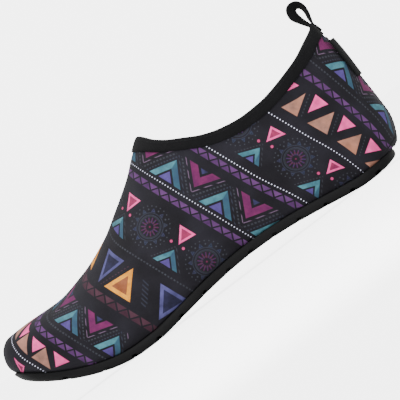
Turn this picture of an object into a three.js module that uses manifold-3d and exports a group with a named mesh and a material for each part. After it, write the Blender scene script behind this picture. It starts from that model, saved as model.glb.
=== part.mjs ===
// A slip-on water shoe for the left foot: a thin stretch-fabric upper on a moulded rubber sole.
// Millimetres, +Z up. X runs from the toe to the heel, and the outer side of the foot is at -Y.
import * as THREE from "three";
import { mergeVertices } from "three/addons/utils/BufferGeometryUtils.js";
import Module from "manifold-3d";

const wasm = await Module();
wasm.setup();

// Driving sizes of the last
const LENGTH = 242.5;
const BALL_WIDTH = 92;
const HEEL_WIDTH = 63;
const THROAT_HEIGHT = 93;
const HEEL_HEIGHT = 85;
const COLLAR_DIP = 68.5;

// Driving sizes of the sole
const TOE_SPRING = 25.5;
const ARCH_RISE = 7.4;
const HEEL_LIFT = 7;
const SOLE_UNDER = 3.6;
const RIM_HEIGHT = 5.6;
const RIM_WALL = 1.6;
const TOE_BUMPER = 4.6;
const HEEL_TUCK = 4.6;
const SOLE_ROUND = 1.8;
const GROOVE_DEPTH = 1.9;
const GROOVE_WIDTH = 3.4;
const GROOVE_WAVE = 2.6;
const GROOVE_COUNT = 13;

// Places along the sole, as shares of the length
const TOE_LEAVES = 0.254;
const ARCH_FROM = 0.3;
const ARCH_TO = 0.86;
const HEEL_LEAVES = 0.89;
const BUMPER_ENDS = 0.07;
const FIRST_GROOVE = 0.092;
const LAST_GROOVE = 0.907;

// Walls and fits
const WALL = 1.4;
const FIT = 0.3;
const LASTING_MARGIN = 8;
const INSOLE_THICKNESS = 3;
const BINDING_WIDTH = 6.3;
const BINDING_CLOTH = 0.6;
const BINDING_FIT = 0.25;
const SEAM_WIDTH = 2.2;
const SEAM_HEIGHT = 0.5;

// Pull loop and side tag
const LOOP_HEIGHT = 14.5;
const LOOP_DEPTH = 6.5;
const LOOP_TAPE_WIDTH = 6;
const LOOP_TAPE = 1.1;
const LOOP_TAIL = 5.5;
const TAG_LENGTH = 24.5;
const TAG_TAPE = 0.8;
const TAG_TOP_BELOW_HEEL = 12.5;
const TAG_REACH = 13;
const TAG_LIFT = 1.5;

// How finely the forms are cut into faces
const STATIONS = 38;
const UPPER_STEPS = 8;
const LOWER_STEPS = 5;

// Sections of the last. Widths are shares of the ball or heel width, measured from the ridge line.
// Heights are shares of the throat or heel height: top is the ridge, wide is the widest line above
// the sole line, and lift is how far the underside rises off the sole towards the ends.
// dome is how square the upper half is, and keel how square the lower half is.
const COLUMNS = ["at", "lateral", "medial", "ridge", "top", "wide", "lift", "dome", "keel"];
const FOREFOOT = [
  [0.0, 0.0, 0.0, 0.08, 0.4, 0.12, 0.075, 2.3, 2.2],
  [0.008, 0.14, 0.105, 0.078, 0.487, 0.13, 0.03, 2.3, 2.8],
  [0.033, 0.262, 0.2, 0.075, 0.526, 0.137, 0.008, 2.4, 4.2],
  [0.082, 0.385, 0.288, 0.069, 0.53, 0.145, 0.0, 2.5, 6.2],
  [0.164, 0.484, 0.372, 0.06, 0.522, 0.145, 0.0, 2.4, 8.0],
  [0.246, 0.533, 0.415, 0.054, 0.563, 0.145, 0.0, 2.2, 8.0],
  [0.328, 0.55, 0.416, 0.048, 0.645, 0.15, 0.0, 2.0, 8.0],
  [0.389, 0.543, 0.388, 0.043, 0.742, 0.16, 0.0, 1.9, 8.0],
  [0.451, 0.513, 0.35, 0.035, 0.85, 0.175, 0.0, 1.85, 8.0],
  [0.492, 0.485, 0.324, 0.028, 0.94, 0.185, 0.0, 1.85, 8.0],
  [0.529, 0.457, 0.304, 0.022, 1.01, 0.19, 0.0, 1.85, 8.0],
  [0.574, 0.426, 0.292, 0.012, 1.07, 0.195, 0.0, 1.9, 8.0],
];
const HINDFOOT = [
  [0.635, 0.568, 0.422, 0.008, 1.2, 0.215, 0.0, 1.95, 8.0],
  [0.705, 0.528, 0.43, 0.004, 1.225, 0.235, 0.0, 2.0, 8.0],
  [0.779, 0.505, 0.45, 0.0, 1.235, 0.262, 0.0, 2.0, 8.0],
  [0.861, 0.482, 0.46, 0.0, 1.2, 0.285, 0.0, 2.0, 8.0],
  [0.922, 0.418, 0.412, 0.0, 1.13, 0.295, 0.0, 2.0, 5.0],
  [0.959, 0.335, 0.335, 0.0, 1.03, 0.285, 0.002, 2.1, 3.0],
  [0.9734, 0.282, 0.282, 0.0, 0.958, 0.27, 0.005, 2.1, 2.6],
  [0.99, 0.18, 0.18, 0.0, 0.735, 0.262, 0.06, 2.1, 2.3],
  [0.996, 0.115, 0.115, 0.0, 0.58, 0.255, 0.1, 2.2, 2.2],
  [0.9988, 0.064, 0.064, 0.0, 0.44, 0.25, 0.132, 2.2, 2.2],
  [1.0, 0.0, 0.0, 0.0, 0.3, 0.245, 0.17, 2.2, 2.2],
];

// Side view of the collar's edge, from the throat back: at is a share of the length, and rise
// runs from 0 at the dip to 1 at the throat (front rows) or at the heel (back rows).
const COLLAR_FRONT = [
  { at: 0.516, rise: 1.0 },
  { at: 0.533, rise: 0.9 },
  { at: 0.553, rise: 0.727 },
  { at: 0.574, rise: 0.571 },
  { at: 0.602, rise: 0.415 },
  { at: 0.64, rise: 0.212 },
  { at: 0.685, rise: 0.07 },
  { at: 0.739, rise: 0.0 },
];
const COLLAR_BACK = [
  { at: 0.787, rise: 0.025 },
  { at: 0.817, rise: 0.1 },
  { at: 0.863, rise: 0.27 },
  { at: 0.908, rise: 0.48 },
  { at: 0.949, rise: 0.77 },
  { at: 0.985, rise: 1.0 },
];

// The pull loop above its tail, up the outside and back down the inside: deep and high are shares
// of the loop's depth and height, and twist is the tape's turn in radians.
const LOOP_RISE = [
  { deep: -0.2, high: 0.33, twist: 0.2 },
  { deep: -0.3, high: 0.68, twist: 0.4 },
  { deep: -0.06, high: 0.95, twist: 0.6 },
  { deep: 0.4, high: 1.0, twist: 0.65 },
];
const LOOP_RETURN = [
  { deep: 0.7, high: 0.85, twist: 0.6 },
  { deep: 0.58, high: 0.55, twist: 0.45 },
  { deep: 0.28, high: 0.25, twist: 0.2 },
  { deep: 0.02, high: 0.02, twist: 0.0 },
];

// A smooth curve through the points that never overshoots them.
function smoothThrough(xs, ys) {
  const gaps = xs.slice(1).map((x, i) => x - xs[i]);
  const slopes = gaps.map((gap, i) => (ys[i + 1] - ys[i]) / gap);
  const tangents = xs.map((_, i) => {
    if (i === 0) return slopes[0];
    if (i === xs.length - 1) return slopes[i - 1];
    const [before, after] = [slopes[i - 1], slopes[i]];
    if (before * after <= 0) return 0;
    const [wide, narrow] = [2 * gaps[i] + gaps[i - 1], gaps[i] + 2 * gaps[i - 1]];
    return (wide + narrow) / (wide / before + narrow / after);
  });
  return (x) => {
    let i = 0;
    while (i < gaps.length - 1 && x > xs[i + 1]) i += 1;
    const t = Math.min(1, Math.max(0, (x - xs[i]) / gaps[i]));
    const [a, b] = [t * t * (3 - 2 * t), t * (1 - t)];
    const bend = gaps[i] * b * (tangents[i] * (1 - t) - tangents[i + 1] * t);
    return ys[i] * (1 - a) + ys[i + 1] * a + bend;
  };
}

const onLast = (x) => Math.min(LENGTH, Math.max(0, x));
const heelShare = (x) => Math.max(0, (onLast(x) / LENGTH - HEEL_LEAVES) / (1 - HEEL_LEAVES));

// The underside of the sole in side view, which meets the floor at the ball and the heel.
function soleLine(x) {
  const toe = Math.max(0, 1 - onLast(x) / (TOE_LEAVES * LENGTH));
  const arch = (x / LENGTH - ARCH_FROM) / (ARCH_TO - ARCH_FROM);
  const [toeCurve, archCurve] = [1.8, 1.2];
  const waist = arch > 0 && arch < 1 ? Math.sin(Math.PI * arch) ** archCurve : 0;
  return TOE_SPRING * toe ** toeCurve + ARCH_RISE * waist + HEEL_LIFT * heelShare(x) ** 2;
}

// The top of the sole's rim, which rises over the toe and tucks in under the heel.
function rimLine(x) {
  const toe = Math.max(0, 1 - onLast(x) / (BUMPER_ENDS * LENGTH));
  return soleLine(x) + RIM_HEIGHT + TOE_BUMPER * toe ** 2 - HEEL_TUCK * heelShare(x) ** 2;
}

// Distance along the last is counted so that both ends come out round.
const endwise = (x) => Math.acos(1 - (2 * onLast(x)) / LENGTH) / Math.PI;

const rows = [
  ...FOREFOOT.map((row) => ({ row, width: BALL_WIDTH, height: THROAT_HEIGHT })),
  ...HINDFOOT.map((row) => ({ row, width: HEEL_WIDTH, height: HEEL_HEIGHT })),
].map(({ row, width, height }) => {
  const cell = Object.fromEntries(COLUMNS.map((name, i) => [name, row[i]]));
  const sole = soleLine(cell.at * LENGTH);
  return {
    place: endwise(cell.at * LENGTH),
    lateral: cell.lateral * width,
    medial: cell.medial * width,
    ridge: cell.ridge * width,
    top: cell.top * height,
    wide: sole + cell.wide * height,
    lift: cell.lift * height,
    dome: cell.dome,
    keel: cell.keel,
  };
});
const column = (name) => smoothThrough(rows.map((r) => r.place), rows.map((r) => r[name]));
const columns = Object.fromEntries(COLUMNS.slice(1).map((name) => [name, column(name)]));

function sectionAt(x) {
  const place = endwise(x);
  const section = Object.fromEntries(Object.entries(columns).map(([name, f]) => [name, f(place)]));
  section.base = Math.min(section.wide, soleLine(x) + SOLE_UNDER + section.lift);
  return section;
}

// The lower half is square across and rounder downwards.
const keelDown = (section) => Math.min(section.keel, 3);

// A point on the section at x. turn is 0 on the ridge, a quarter turn on the lateral side.
function formPoint(x, turn) {
  const s = sectionAt(x);
  const [across, up] = [Math.sin(turn), Math.cos(turn)];
  const half = across > 0 ? s.lateral : s.medial;
  const upper = up >= 0;
  const wide = Math.abs(across) ** (2 / (upper ? s.dome : s.keel));
  const tall = Math.abs(up) ** (2 / (upper ? s.dome : keelDown(s)));
  const z = upper ? s.wide + (s.top - s.wide) * tall : s.wide - (s.wide - s.base) * tall;
  return new THREE.Vector3(x, s.ridge - Math.sign(across) * half * wide, z);
}

// Half the breadth of the last at a height below its widest line.
function breadth(x, z, side) {
  const s = sectionAt(x);
  const down = Math.min(1, Math.max(0, (s.wide - z) / Math.max(1e-6, s.wide - s.base)));
  const share = (1 - down ** keelDown(s)) ** (1 / s.keel);
  return s.ridge + (side < 0 ? -s.lateral : s.medial) * share;
}

function meshOf(points, faces) {
  const geometry = new THREE.BufferGeometry();
  const flat = points.flatMap((p) => [p.x, p.y, p.z]);
  geometry.setAttribute("position", new THREE.Float32BufferAttribute(flat, 3));
  geometry.setIndex(faces.flat());
  return geometry;
}

function solidOf(geometry) {
  const bare = geometry.clone();
  bare.deleteAttribute("normal");
  bare.deleteAttribute("uv");
  const merged = mergeVertices(bare, 1e-4);
  const vertProperties = new Float32Array(merged.attributes.position.array);
  const triVerts = new Uint32Array(merged.index.array);
  return new wasm.Manifold(new wasm.Mesh({ numProp: 3, vertProperties, triVerts }));
}

// Faces that join rings of equal length, with a pole or a closed ring at each end.
function skin(rings, startPole, endPole) {
  const points = rings.flat();
  const count = rings[0].length;
  const faces = [];
  for (let i = 0; i < rings.length - 1; i += 1) {
    for (let j = 0; j < count; j += 1) {
      const [a, b] = [i * count + j, i * count + ((j + 1) % count)];
      faces.push([a, b, a + count], [b, b + count, a + count]);
    }
  }
  const end = (rings.length - 1) * count;
  for (let j = 0; j < count; j += 1) {
    const next = (j + 1) % count;
    faces.push([points.length, next, j], [points.length + 1, end + j, end + next]);
  }
  return meshOf([...points, startPole, endPole], faces);
}

// The closed form of the last, as a mesh with a normal at each point.
function lastGeometry() {
  const turns = [];
  for (let i = 0; i < UPPER_STEPS; i += 1) turns.push((Math.PI / 2) * (i / UPPER_STEPS));
  for (let i = 0; i < LOWER_STEPS; i += 1) turns.push((Math.PI / 2) * (1 + i / LOWER_STEPS));
  const around = [...turns, Math.PI, ...turns.slice(1).reverse().map((turn) => -turn)];
  const evenShare = 0.16;
  const rings = [];
  for (let i = 1; i < STATIONS; i += 1) {
    const even = i / STATIONS;
    const x = LENGTH * (evenShare * even + (1 - evenShare) * 0.5 * (1 - Math.cos(Math.PI * even)));
    rings.push(around.map((turn) => formPoint(x, turn)));
  }
  const geometry = skin(rings, formPoint(0, 0), formPoint(LENGTH, 0));
  geometry.computeVertexNormals();
  return geometry;
}

const last = lastGeometry();

// The last grown outwards, or shrunk by a negative distance.
function grown(distance) {
  const geometry = last.clone();
  const [position, normal] = [geometry.attributes.position, geometry.attributes.normal];
  for (let i = 0; i < position.count; i += 1) {
    position.setXYZ(
      i,
      position.getX(i) + normal.getX(i) * distance,
      position.getY(i) + normal.getY(i) * distance,
      position.getZ(i) + normal.getZ(i) * distance,
    );
  }
  return solidOf(geometry);
}

// A block across the whole shoe with the given side view, a list of [x, z].
function sideBlock(outline) {
  const shape = new THREE.Shape(outline.map(([x, z]) => new THREE.Vector2(x, z)));
  const geometry = new THREE.ExtrudeGeometry(shape, { depth: 2 * BALL_WIDTH, bevelEnabled: false });
  return solidOf(geometry.rotateX(Math.PI / 2).translate(0, BALL_WIDTH, 0));
}

// A block of the given plan, a list of [x, y], between two heights.
function planBlock(outline, from, to) {
  const shape = new THREE.Shape(outline.map(([x, y]) => new THREE.Vector2(x, y)));
  const geometry = new THREE.ExtrudeGeometry(shape, { depth: to - from, bevelEnabled: false });
  return solidOf(geometry.translate(0, 0, from));
}

const [FAR_FRONT, FAR_BACK] = [-0.1 * LENGTH, 1.3 * LENGTH];
const [FAR_DOWN, FAR_UP] = [-20, 2 * THROAT_HEIGHT];

// Everything below a line over x.
function below(line) {
  const steps = 36;
  const top = [];
  for (let i = 0; i <= steps; i += 1) {
    const x = FAR_FRONT + ((FAR_BACK - FAR_FRONT) * i) / steps;
    top.push([x, line(x)]);
  }
  return sideBlock([[FAR_FRONT, FAR_DOWN], [FAR_BACK, FAR_DOWN], ...top.reverse()]);
}

// The collar's edge in side view, moved square to itself by a distance, and run on past both ends.
function collarLine(distance) {
  const points = [
    ...COLLAR_FRONT.map(({ at, rise }) => [at, COLLAR_DIP + rise * (THROAT_HEIGHT - COLLAR_DIP)]),
    ...COLLAR_BACK.map(({ at, rise }) => [at, COLLAR_DIP + rise * (HEEL_HEIGHT - COLLAR_DIP)]),
  ].map(([at, z]) => new THREE.Vector3(at * LENGTH, 0, z));
  const curve = new THREE.CatmullRomCurve3(points, false, "centripetal");
  const steps = 22;
  const line = [];
  for (let i = 0; i <= steps; i += 1) {
    const [p, t] = [curve.getPoint(i / steps), curve.getTangent(i / steps)];
    line.push(new THREE.Vector2(p.x + t.z * distance, p.z - t.x * distance));
  }
  const runOn = 30;
  const [first, second] = line;
  const [lastButOne, end] = line.slice(-2);
  const front = first.clone().add(first.clone().sub(second).setLength(runOn));
  const back = end.clone().add(end.clone().sub(lastButOne).setLength(runOn));
  return [front, ...line, back].map((p) => [p.x, p.y]);
}

function belowCollar(distance) {
  const line = collarLine(distance);
  const reach = [[FAR_FRONT, FAR_UP], [line[0][0], FAR_UP]];
  const under = [[FAR_BACK, line.at(-1)[1]], [FAR_BACK, FAR_DOWN], [FAR_FRONT, FAR_DOWN]];
  return sideBlock([...reach, ...line, ...under].reverse());
}

// Places from front to back, closer together at the ends, which keep to the flat spots' edges.
function placesAlong(front, back) {
  const steps = 36;
  const inside = 0.5;
  const flats = [[TOE_LEAVES, ARCH_FROM], [ARCH_TO, HEEL_LEAVES]];
  const marks = flats.flatMap(([from, to]) => [from * LENGTH + inside, to * LENGTH - inside]);
  const even = Array.from({ length: steps + 1 }, (_, i) => {
    return front + (back - front) * 0.5 * (1 - Math.cos((Math.PI * i) / steps));
  });
  const apart = (back - front) / steps / 2;
  const clear = even.filter((x) => marks.every((mark) => Math.abs(x - mark) > apart));
  return [...clear, ...marks].sort((a, b) => a - b);
}

// The plan of the last at the height of a line, grown outwards in plan.
function planOutline(line, outwards) {
  const holds = (x) => sectionAt(x).base < line(x);
  const edge = (inside, outside) => {
    let [yes, no] = [inside, outside];
    for (let i = 0; i < 40; i += 1) {
      const middle = (yes + no) / 2;
      if (holds(middle)) yes = middle;
      else no = middle;
    }
    return yes;
  };
  const [front, back] = [edge(LENGTH / 4, 0), edge(0.85 * LENGTH, LENGTH)];
  const inner = placesAlong(front, back).slice(1, -1);
  const ridge = (x) => sectionAt(x).ridge;
  const loop = [
    [front, ridge(front)],
    ...inner.map((x) => [x, breadth(x, line(x), -1)]),
    [back, ridge(back)],
    ...inner.reverse().map((x) => [x, breadth(x, line(x), 1)]),
  ];
  return loop.map(([x, y], i) => {
    const [before, after] = [loop.at(i - 1), loop[(i + 1) % loop.length]];
    const along = new THREE.Vector2(after[0] - before[0], after[1] - before[1]).normalize();
    return [x + along.y * outwards, y - along.x * outwards];
  });
}

// The sole before it is hollowed: a plan outline carried from the rim down to the sole line,
// with its lower edge rounded.
function soleBlank() {
  const outlineAt = (inset) => planOutline(rimLine, FIT + RIM_WALL - inset);
  const ring = (outline, height) => outline.map(([x, y]) => new THREE.Vector3(x, y, height(x)));
  const bends = [0, 1, 2].map((i) => (Math.PI / 4) * i);
  const rings = [
    ring(outlineAt(0), rimLine),
    ...bends.map((bend) =>
      ring(
        outlineAt(SOLE_ROUND * (1 - Math.cos(bend))),
        (x) => soleLine(x) + SOLE_ROUND * (1 - Math.sin(bend)),
      ),
    ),
  ];
  const count = rings[0].length;
  const faces = [];
  for (let level = 0; level < rings.length - 1; level += 1) {
    for (let i = 0; i < count; i += 1) {
      const [a, b] = [level * count + i, level * count + ((i + 1) % count)];
      faces.push([a, a + count, b], [b, a + count, b + count]);
    }
  }
  const under = (rings.length - 1) * count;
  for (let i = 0; i < count / 2; i += 1) {
    const [left, right] = [i, (count - i) % count];
    const [nextLeft, nextRight] = [i + 1, count - i - 1];
    const strips = i === 0 ? [] : [[left, nextLeft, right]];
    if (nextLeft !== nextRight) strips.push([right, nextLeft, nextRight]);
    for (const [a, b, c] of strips) {
      faces.push([a, b, c], [under + a, under + c, under + b]);
    }
  }
  return solidOf(meshOf(rings.flat(), faces));
}

// One zigzag groove across the underside, tilted to follow the sole line.
function groove(x) {
  const bends = 8;
  const across = 1.1 * BALL_WIDTH;
  const edge = (side) =>
    Array.from({ length: bends + 1 }, (_, i) => {
      const wave = (i % 2 ? 1 : -1) * GROOVE_WAVE;
      return [wave + (side * GROOVE_WIDTH) / 2, across * (i / bends - 0.5)];
    });
  const slope = Math.atan2(soleLine(x + 1) - soleLine(x - 1), 2);
  const shape = new THREE.Shape(
    [...edge(1), ...edge(-1).reverse()].map(([a, b]) => new THREE.Vector2(a, b)),
  );
  const drop = 4;
  const depth = GROOVE_DEPTH + drop;
  const geometry = new THREE.ExtrudeGeometry(shape, { depth, bevelEnabled: false });
  geometry.translate(0, 0, -drop).rotateY(-slope).translate(x, 0, soleLine(x));
  return solidOf(geometry);
}

function outsole() {
  let sole = soleBlank().subtract(grown(FIT));
  for (let i = 0; i < GROOVE_COUNT; i += 1) {
    const share = FIRST_GROOVE + ((LAST_GROOVE - FIRST_GROOVE) * i) / (GROOVE_COUNT - 1);
    sole = sole.subtract(groove(share * LENGTH));
  }
  return sole;
}

// A block through the opening under the upper, inside its lasting margin.
function underside(inset) {
  const outline = planOutline((x) => soleLine(x) + SOLE_UNDER + WALL, -inset);
  return planBlock(outline, FAR_DOWN, TOE_SPRING + SOLE_UNDER + WALL + INSOLE_THICKNESS);
}

// A raised ridge up the back of the heel, from the sole's rim to the binding.
function backSeam() {
  const [from, to] = [0.8 * LENGTH, 1.05 * LENGTH];
  const half = SEAM_WIDTH / 2;
  return grown(SEAM_HEIGHT)
    .subtract(grown(-WALL / 2))
    .intersect(planBlock([[from, -half], [to, -half], [to, half], [from, half]], 0, FAR_UP))
    .intersect(belowCollar(BINDING_WIDTH + FIT))
    .subtract(below((x) => rimLine(x) + FIT));
}

function upper() {
  return grown(0)
    .subtract(grown(-WALL))
    .intersect(belowCollar(BINDING_CLOTH + BINDING_FIT))
    .add(backSeam())
    .subtract(underside(LASTING_MARGIN));
}

// Tape folded over the upper's edge, with a slot that the edge sits in.
function collarBinding() {
  const outer = BINDING_FIT + BINDING_CLOTH;
  const fold = grown(outer).subtract(grown(-WALL - outer));
  const slot = grown(BINDING_FIT).subtract(grown(-WALL - BINDING_FIT));
  return fold
    .intersect(belowCollar(0))
    .subtract(belowCollar(BINDING_WIDTH))
    .subtract(slot.intersect(belowCollar(BINDING_CLOTH)));
}

function insole() {
  return grown(-WALL - FIT)
    .add(grown(0).intersect(underside(LASTING_MARGIN + FIT)))
    .intersect(below((x) => soleLine(x) + SOLE_UNDER + WALL + FIT + INSOLE_THICKNESS));
}

// Tape of even width and thickness along a path of { at, across, face } frames.
function tape(path, width, thickness) {
  const rings = path.map(({ at, across, face }) =>
    [[-1, -1], [1, -1], [1, 1], [-1, 1]].map(([a, b]) =>
      at
        .clone()
        .addScaledVector(across, (a * width) / 2)
        .addScaledVector(face, (b * thickness) / 2),
    ),
  );
  const middle = (ring) => ring[0].clone().add(ring[2]).multiplyScalar(0.5);
  return solidOf(skin(rings, middle(rings[0]), middle(rings.at(-1))));
}

// The outermost point of the last's centre line at the heel, at a height.
function heelBack(z) {
  let [low, high] = [0.9 * LENGTH, LENGTH];
  for (let i = 0; i < 40; i += 1) {
    const x = (low + high) / 2;
    if (sectionAt(x).top > z) low = x;
    else high = x;
  }
  return low;
}

// A tape loop sewn to the back of the binding: a tail down the outside, then an open teardrop.
function pullLoop() {
  const standOff = BINDING_FIT + BINDING_CLOTH + FIT + LOOP_TAPE / 2;
  const onHeel = (z) => new THREE.Vector3(heelBack(z) + standOff, 0, z);
  const tail = [1, 0.5, 0].map((down) => onHeel(HEEL_HEIGHT - down * LOOP_TAIL));
  const neck = tail.at(-1);
  const loopPoint = ({ deep, high }) =>
    neck.clone().add(new THREE.Vector3(-deep * LOOP_DEPTH, 0, high * LOOP_HEIGHT));
  const stretch = (points, twists, steps) => {
    const curve = new THREE.CatmullRomCurve3(points, false, "centripetal");
    const twistAt = smoothThrough(twists.map((_, i) => i / (twists.length - 1)), twists);
    const frames = Array.from({ length: steps + 1 }, (_, i) => {
      const along = curve.getTangent(i / steps);
      const across = new THREE.Vector3(0, 1, 0).applyAxisAngle(along, twistAt(i / steps));
      return { at: curve.getPoint(i / steps), across, face: along.clone().cross(across) };
    });
    return tape(frames, LOOP_TAPE_WIDTH, LOOP_TAPE);
  };
  const flat = tail.map(() => 0);
  const [rising, returning] = [LOOP_RISE, [LOOP_RISE.at(-1), ...LOOP_RETURN]];
  return stretch(
    [...tail, ...rising.map(loopPoint)],
    [...flat, ...rising.map(({ twist }) => twist)],
    18,
  ).add(stretch(returning.map(loopPoint), returning.map(({ twist }) => twist), 14));
}

// A blank cloth tag sewn beside the back seam, standing a little off the heel.
function sideTag() {
  const top = HEEL_HEIGHT - TAG_TOP_BELOW_HEEL;
  const [down, across] = [8, 6];
  const heelRadius = 0.41 * HEEL_WIDTH;
  const bulgePower = 0.7;
  const edge = (z, share, thickness) => {
    const angle = (SEAM_WIDTH / 2 + FIT + share * TAG_REACH) / heelRadius;
    const lift = TAG_LIFT * Math.sin(Math.PI * share ** bulgePower);
    const reach = heelRadius + FIT + SEAM_HEIGHT / 2 + lift + thickness;
    const out = new THREE.Vector3(Math.cos(angle), -Math.sin(angle), 0);
    return out.multiplyScalar(reach).add(new THREE.Vector3(heelBack(z) - heelRadius, 0, z));
  };
  const shares = Array.from({ length: across + 1 }, (_, i) => i / across);
  const rings = Array.from({ length: down + 1 }, (_, i) => {
    const z = top - (TAG_LENGTH * i) / down;
    const outer = shares.map((share) => edge(z, share, TAG_TAPE));
    const inner = shares.map((share) => edge(z, share, 0));
    return [...outer, ...inner.reverse()];
  });
  const half = across / 2;
  const middle = (ring) => ring[half].clone().add(ring[half + across + 1]).multiplyScalar(0.5);
  return solidOf(skin(rings, middle(rings[0]), middle(rings.at(-1))));
}

const RUBBER = { color: 0x151515, roughness: 0.62, metalness: 0 };
const PRINTED_CLOTH = { color: 0x24222a, roughness: 0.8, metalness: 0 };
const BLACK_CLOTH = { color: 0x121214, roughness: 0.85, metalness: 0 };
const FOAM = { color: 0x1c1c1e, roughness: 0.95, metalness: 0 };

function piece(name, solid, finish) {
  const { numProp, numVert, vertProperties, triVerts } = solid.getMesh();
  const points = new Float32Array(numVert * 3);
  for (let i = 0; i < numVert; i += 1) {
    points.set(vertProperties.subarray(i * numProp, i * numProp + 3), i * 3);
  }
  const geometry = new THREE.BufferGeometry();
  geometry.setAttribute("position", new THREE.BufferAttribute(points, 3));
  geometry.setIndex(new THREE.BufferAttribute(triVerts, 1));
  const mesh = new THREE.Mesh(geometry, new THREE.MeshStandardMaterial(finish));
  mesh.name = name;
  return mesh;
}

const shoe = new THREE.Group();
shoe.add(
  piece("outsole", outsole(), RUBBER),
  piece("upper", upper(), PRINTED_CLOTH),
  piece("insole", insole(), FOAM),
  piece("collar_binding", collarBinding(), BLACK_CLOTH),
  piece("pull_loop", pullLoop(), BLACK_CLOTH),
  piece("side_tag", sideTag(), BLACK_CLOTH),
);

// The frame's origin is on the floor, under the middle of the shoe.
const box = new THREE.Box3().setFromObject(shoe);
const middle = box.getCenter(new THREE.Vector3());
shoe.position.set(-middle.x, -middle.y, -box.min.z);

export default shoe;
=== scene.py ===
import bisect
import math

import bpy
import numpy as np
from mathutils import Matrix, Vector
from mathutils.bvhtree import BVHTree


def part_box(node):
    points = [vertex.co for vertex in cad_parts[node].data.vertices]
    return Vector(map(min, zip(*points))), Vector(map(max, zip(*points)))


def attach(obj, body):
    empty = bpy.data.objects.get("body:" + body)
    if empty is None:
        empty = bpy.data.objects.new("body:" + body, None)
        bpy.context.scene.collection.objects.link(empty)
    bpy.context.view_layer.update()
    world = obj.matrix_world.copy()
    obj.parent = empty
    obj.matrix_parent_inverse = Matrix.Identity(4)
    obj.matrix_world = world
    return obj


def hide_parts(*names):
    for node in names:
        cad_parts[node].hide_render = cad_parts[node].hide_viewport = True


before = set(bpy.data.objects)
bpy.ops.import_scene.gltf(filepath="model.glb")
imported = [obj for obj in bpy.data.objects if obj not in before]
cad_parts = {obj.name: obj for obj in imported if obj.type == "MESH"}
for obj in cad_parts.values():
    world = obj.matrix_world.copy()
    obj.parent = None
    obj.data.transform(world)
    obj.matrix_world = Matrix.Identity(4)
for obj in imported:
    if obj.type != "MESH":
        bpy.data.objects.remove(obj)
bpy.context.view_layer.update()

MM = 0.001

# Camera: level with the shoe, square to its outer side, rolled so that the toe points down
ROLL = math.radians(37)
LENS, SENSOR = 600, 36
CAMERA_AWAY, CAMERA_REACH = 3.56, 20
VIEW_MIDDLE = (12.75, 46.25)

camera = bpy.data.objects.new("camera", bpy.data.cameras.new("camera"))
bpy.context.scene.collection.objects.link(camera)
camera.data.lens = LENS
camera.data.sensor_width = SENSOR
camera.data.clip_end = CAMERA_REACH
right = Vector((math.cos(ROLL), 0, -math.sin(ROLL)))
up = Vector((math.sin(ROLL), 0, math.cos(ROLL)))
turned = Matrix((right, up, Vector((0, -1, 0)))).transposed().to_4x4()
turned.translation = Vector((VIEW_MIDDLE[0] * MM, -CAMERA_AWAY, VIEW_MIDDLE[1] * MM))
camera.matrix_world = turned
bpy.context.scene.camera = camera

# Sizes of the shoe in millimetres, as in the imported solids, with small changes at the rim, heel and tape
LENGTH, BALL_WIDTH, HEEL_WIDTH = 242.5, 92, 63
THROAT_HEIGHT, HEEL_HEIGHT, COLLAR_DIP = 93, 85, 68.5
TOE_SPRING, ARCH_RISE, HEEL_LIFT, SOLE_UNDER = 25.5, 7.4, 7, 3.6
TOE_LEAVES, ARCH_FROM, ARCH_TO, HEEL_LEAVES, BUMPER_ENDS = 0.254, 0.3, 0.86, 0.89, 0.07
RIM_HEIGHT, RIM_WALL, TOE_BUMPER, TOE_RIM_DROP, HEEL_TUCK = 5.6, 1.6, 4.6, 4.0, 4.6
WALL, FIT, MARGIN, INSOLE = 1.4, 0.3, 8, 3
BINDING_WIDTH, BINDING_REACH = 7.3, 0.85

# Sections of the last: at, lateral, medial, ridge, top, wide, lift, dome, keel
FOREFOOT = [
    (0.0, 0.0, 0.0, 0.08, 0.4, 0.12, 0.075, 2.3, 2.2),
    (0.008, 0.14, 0.105, 0.078, 0.487, 0.13, 0.03, 2.3, 2.8),
    (0.033, 0.262, 0.2, 0.075, 0.526, 0.137, 0.008, 2.4, 4.2),
    (0.082, 0.385, 0.288, 0.069, 0.53, 0.145, 0.0, 2.5, 6.2),
    (0.164, 0.484, 0.372, 0.06, 0.522, 0.145, 0.0, 2.4, 8.0),
    (0.246, 0.533, 0.415, 0.054, 0.563, 0.145, 0.0, 2.2, 8.0),
    (0.328, 0.55, 0.416, 0.048, 0.645, 0.15, 0.0, 2.0, 8.0),
    (0.389, 0.543, 0.388, 0.043, 0.742, 0.16, 0.0, 1.9, 8.0),
    (0.451, 0.513, 0.35, 0.035, 0.85, 0.175, 0.0, 1.85, 8.0),
    (0.492, 0.485, 0.324, 0.028, 0.94, 0.185, 0.0, 1.85, 8.0),
    (0.529, 0.457, 0.304, 0.022, 1.01, 0.19, 0.0, 1.85, 8.0),
    (0.574, 0.426, 0.292, 0.012, 1.07, 0.195, 0.0, 1.9, 8.0),
]
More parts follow.
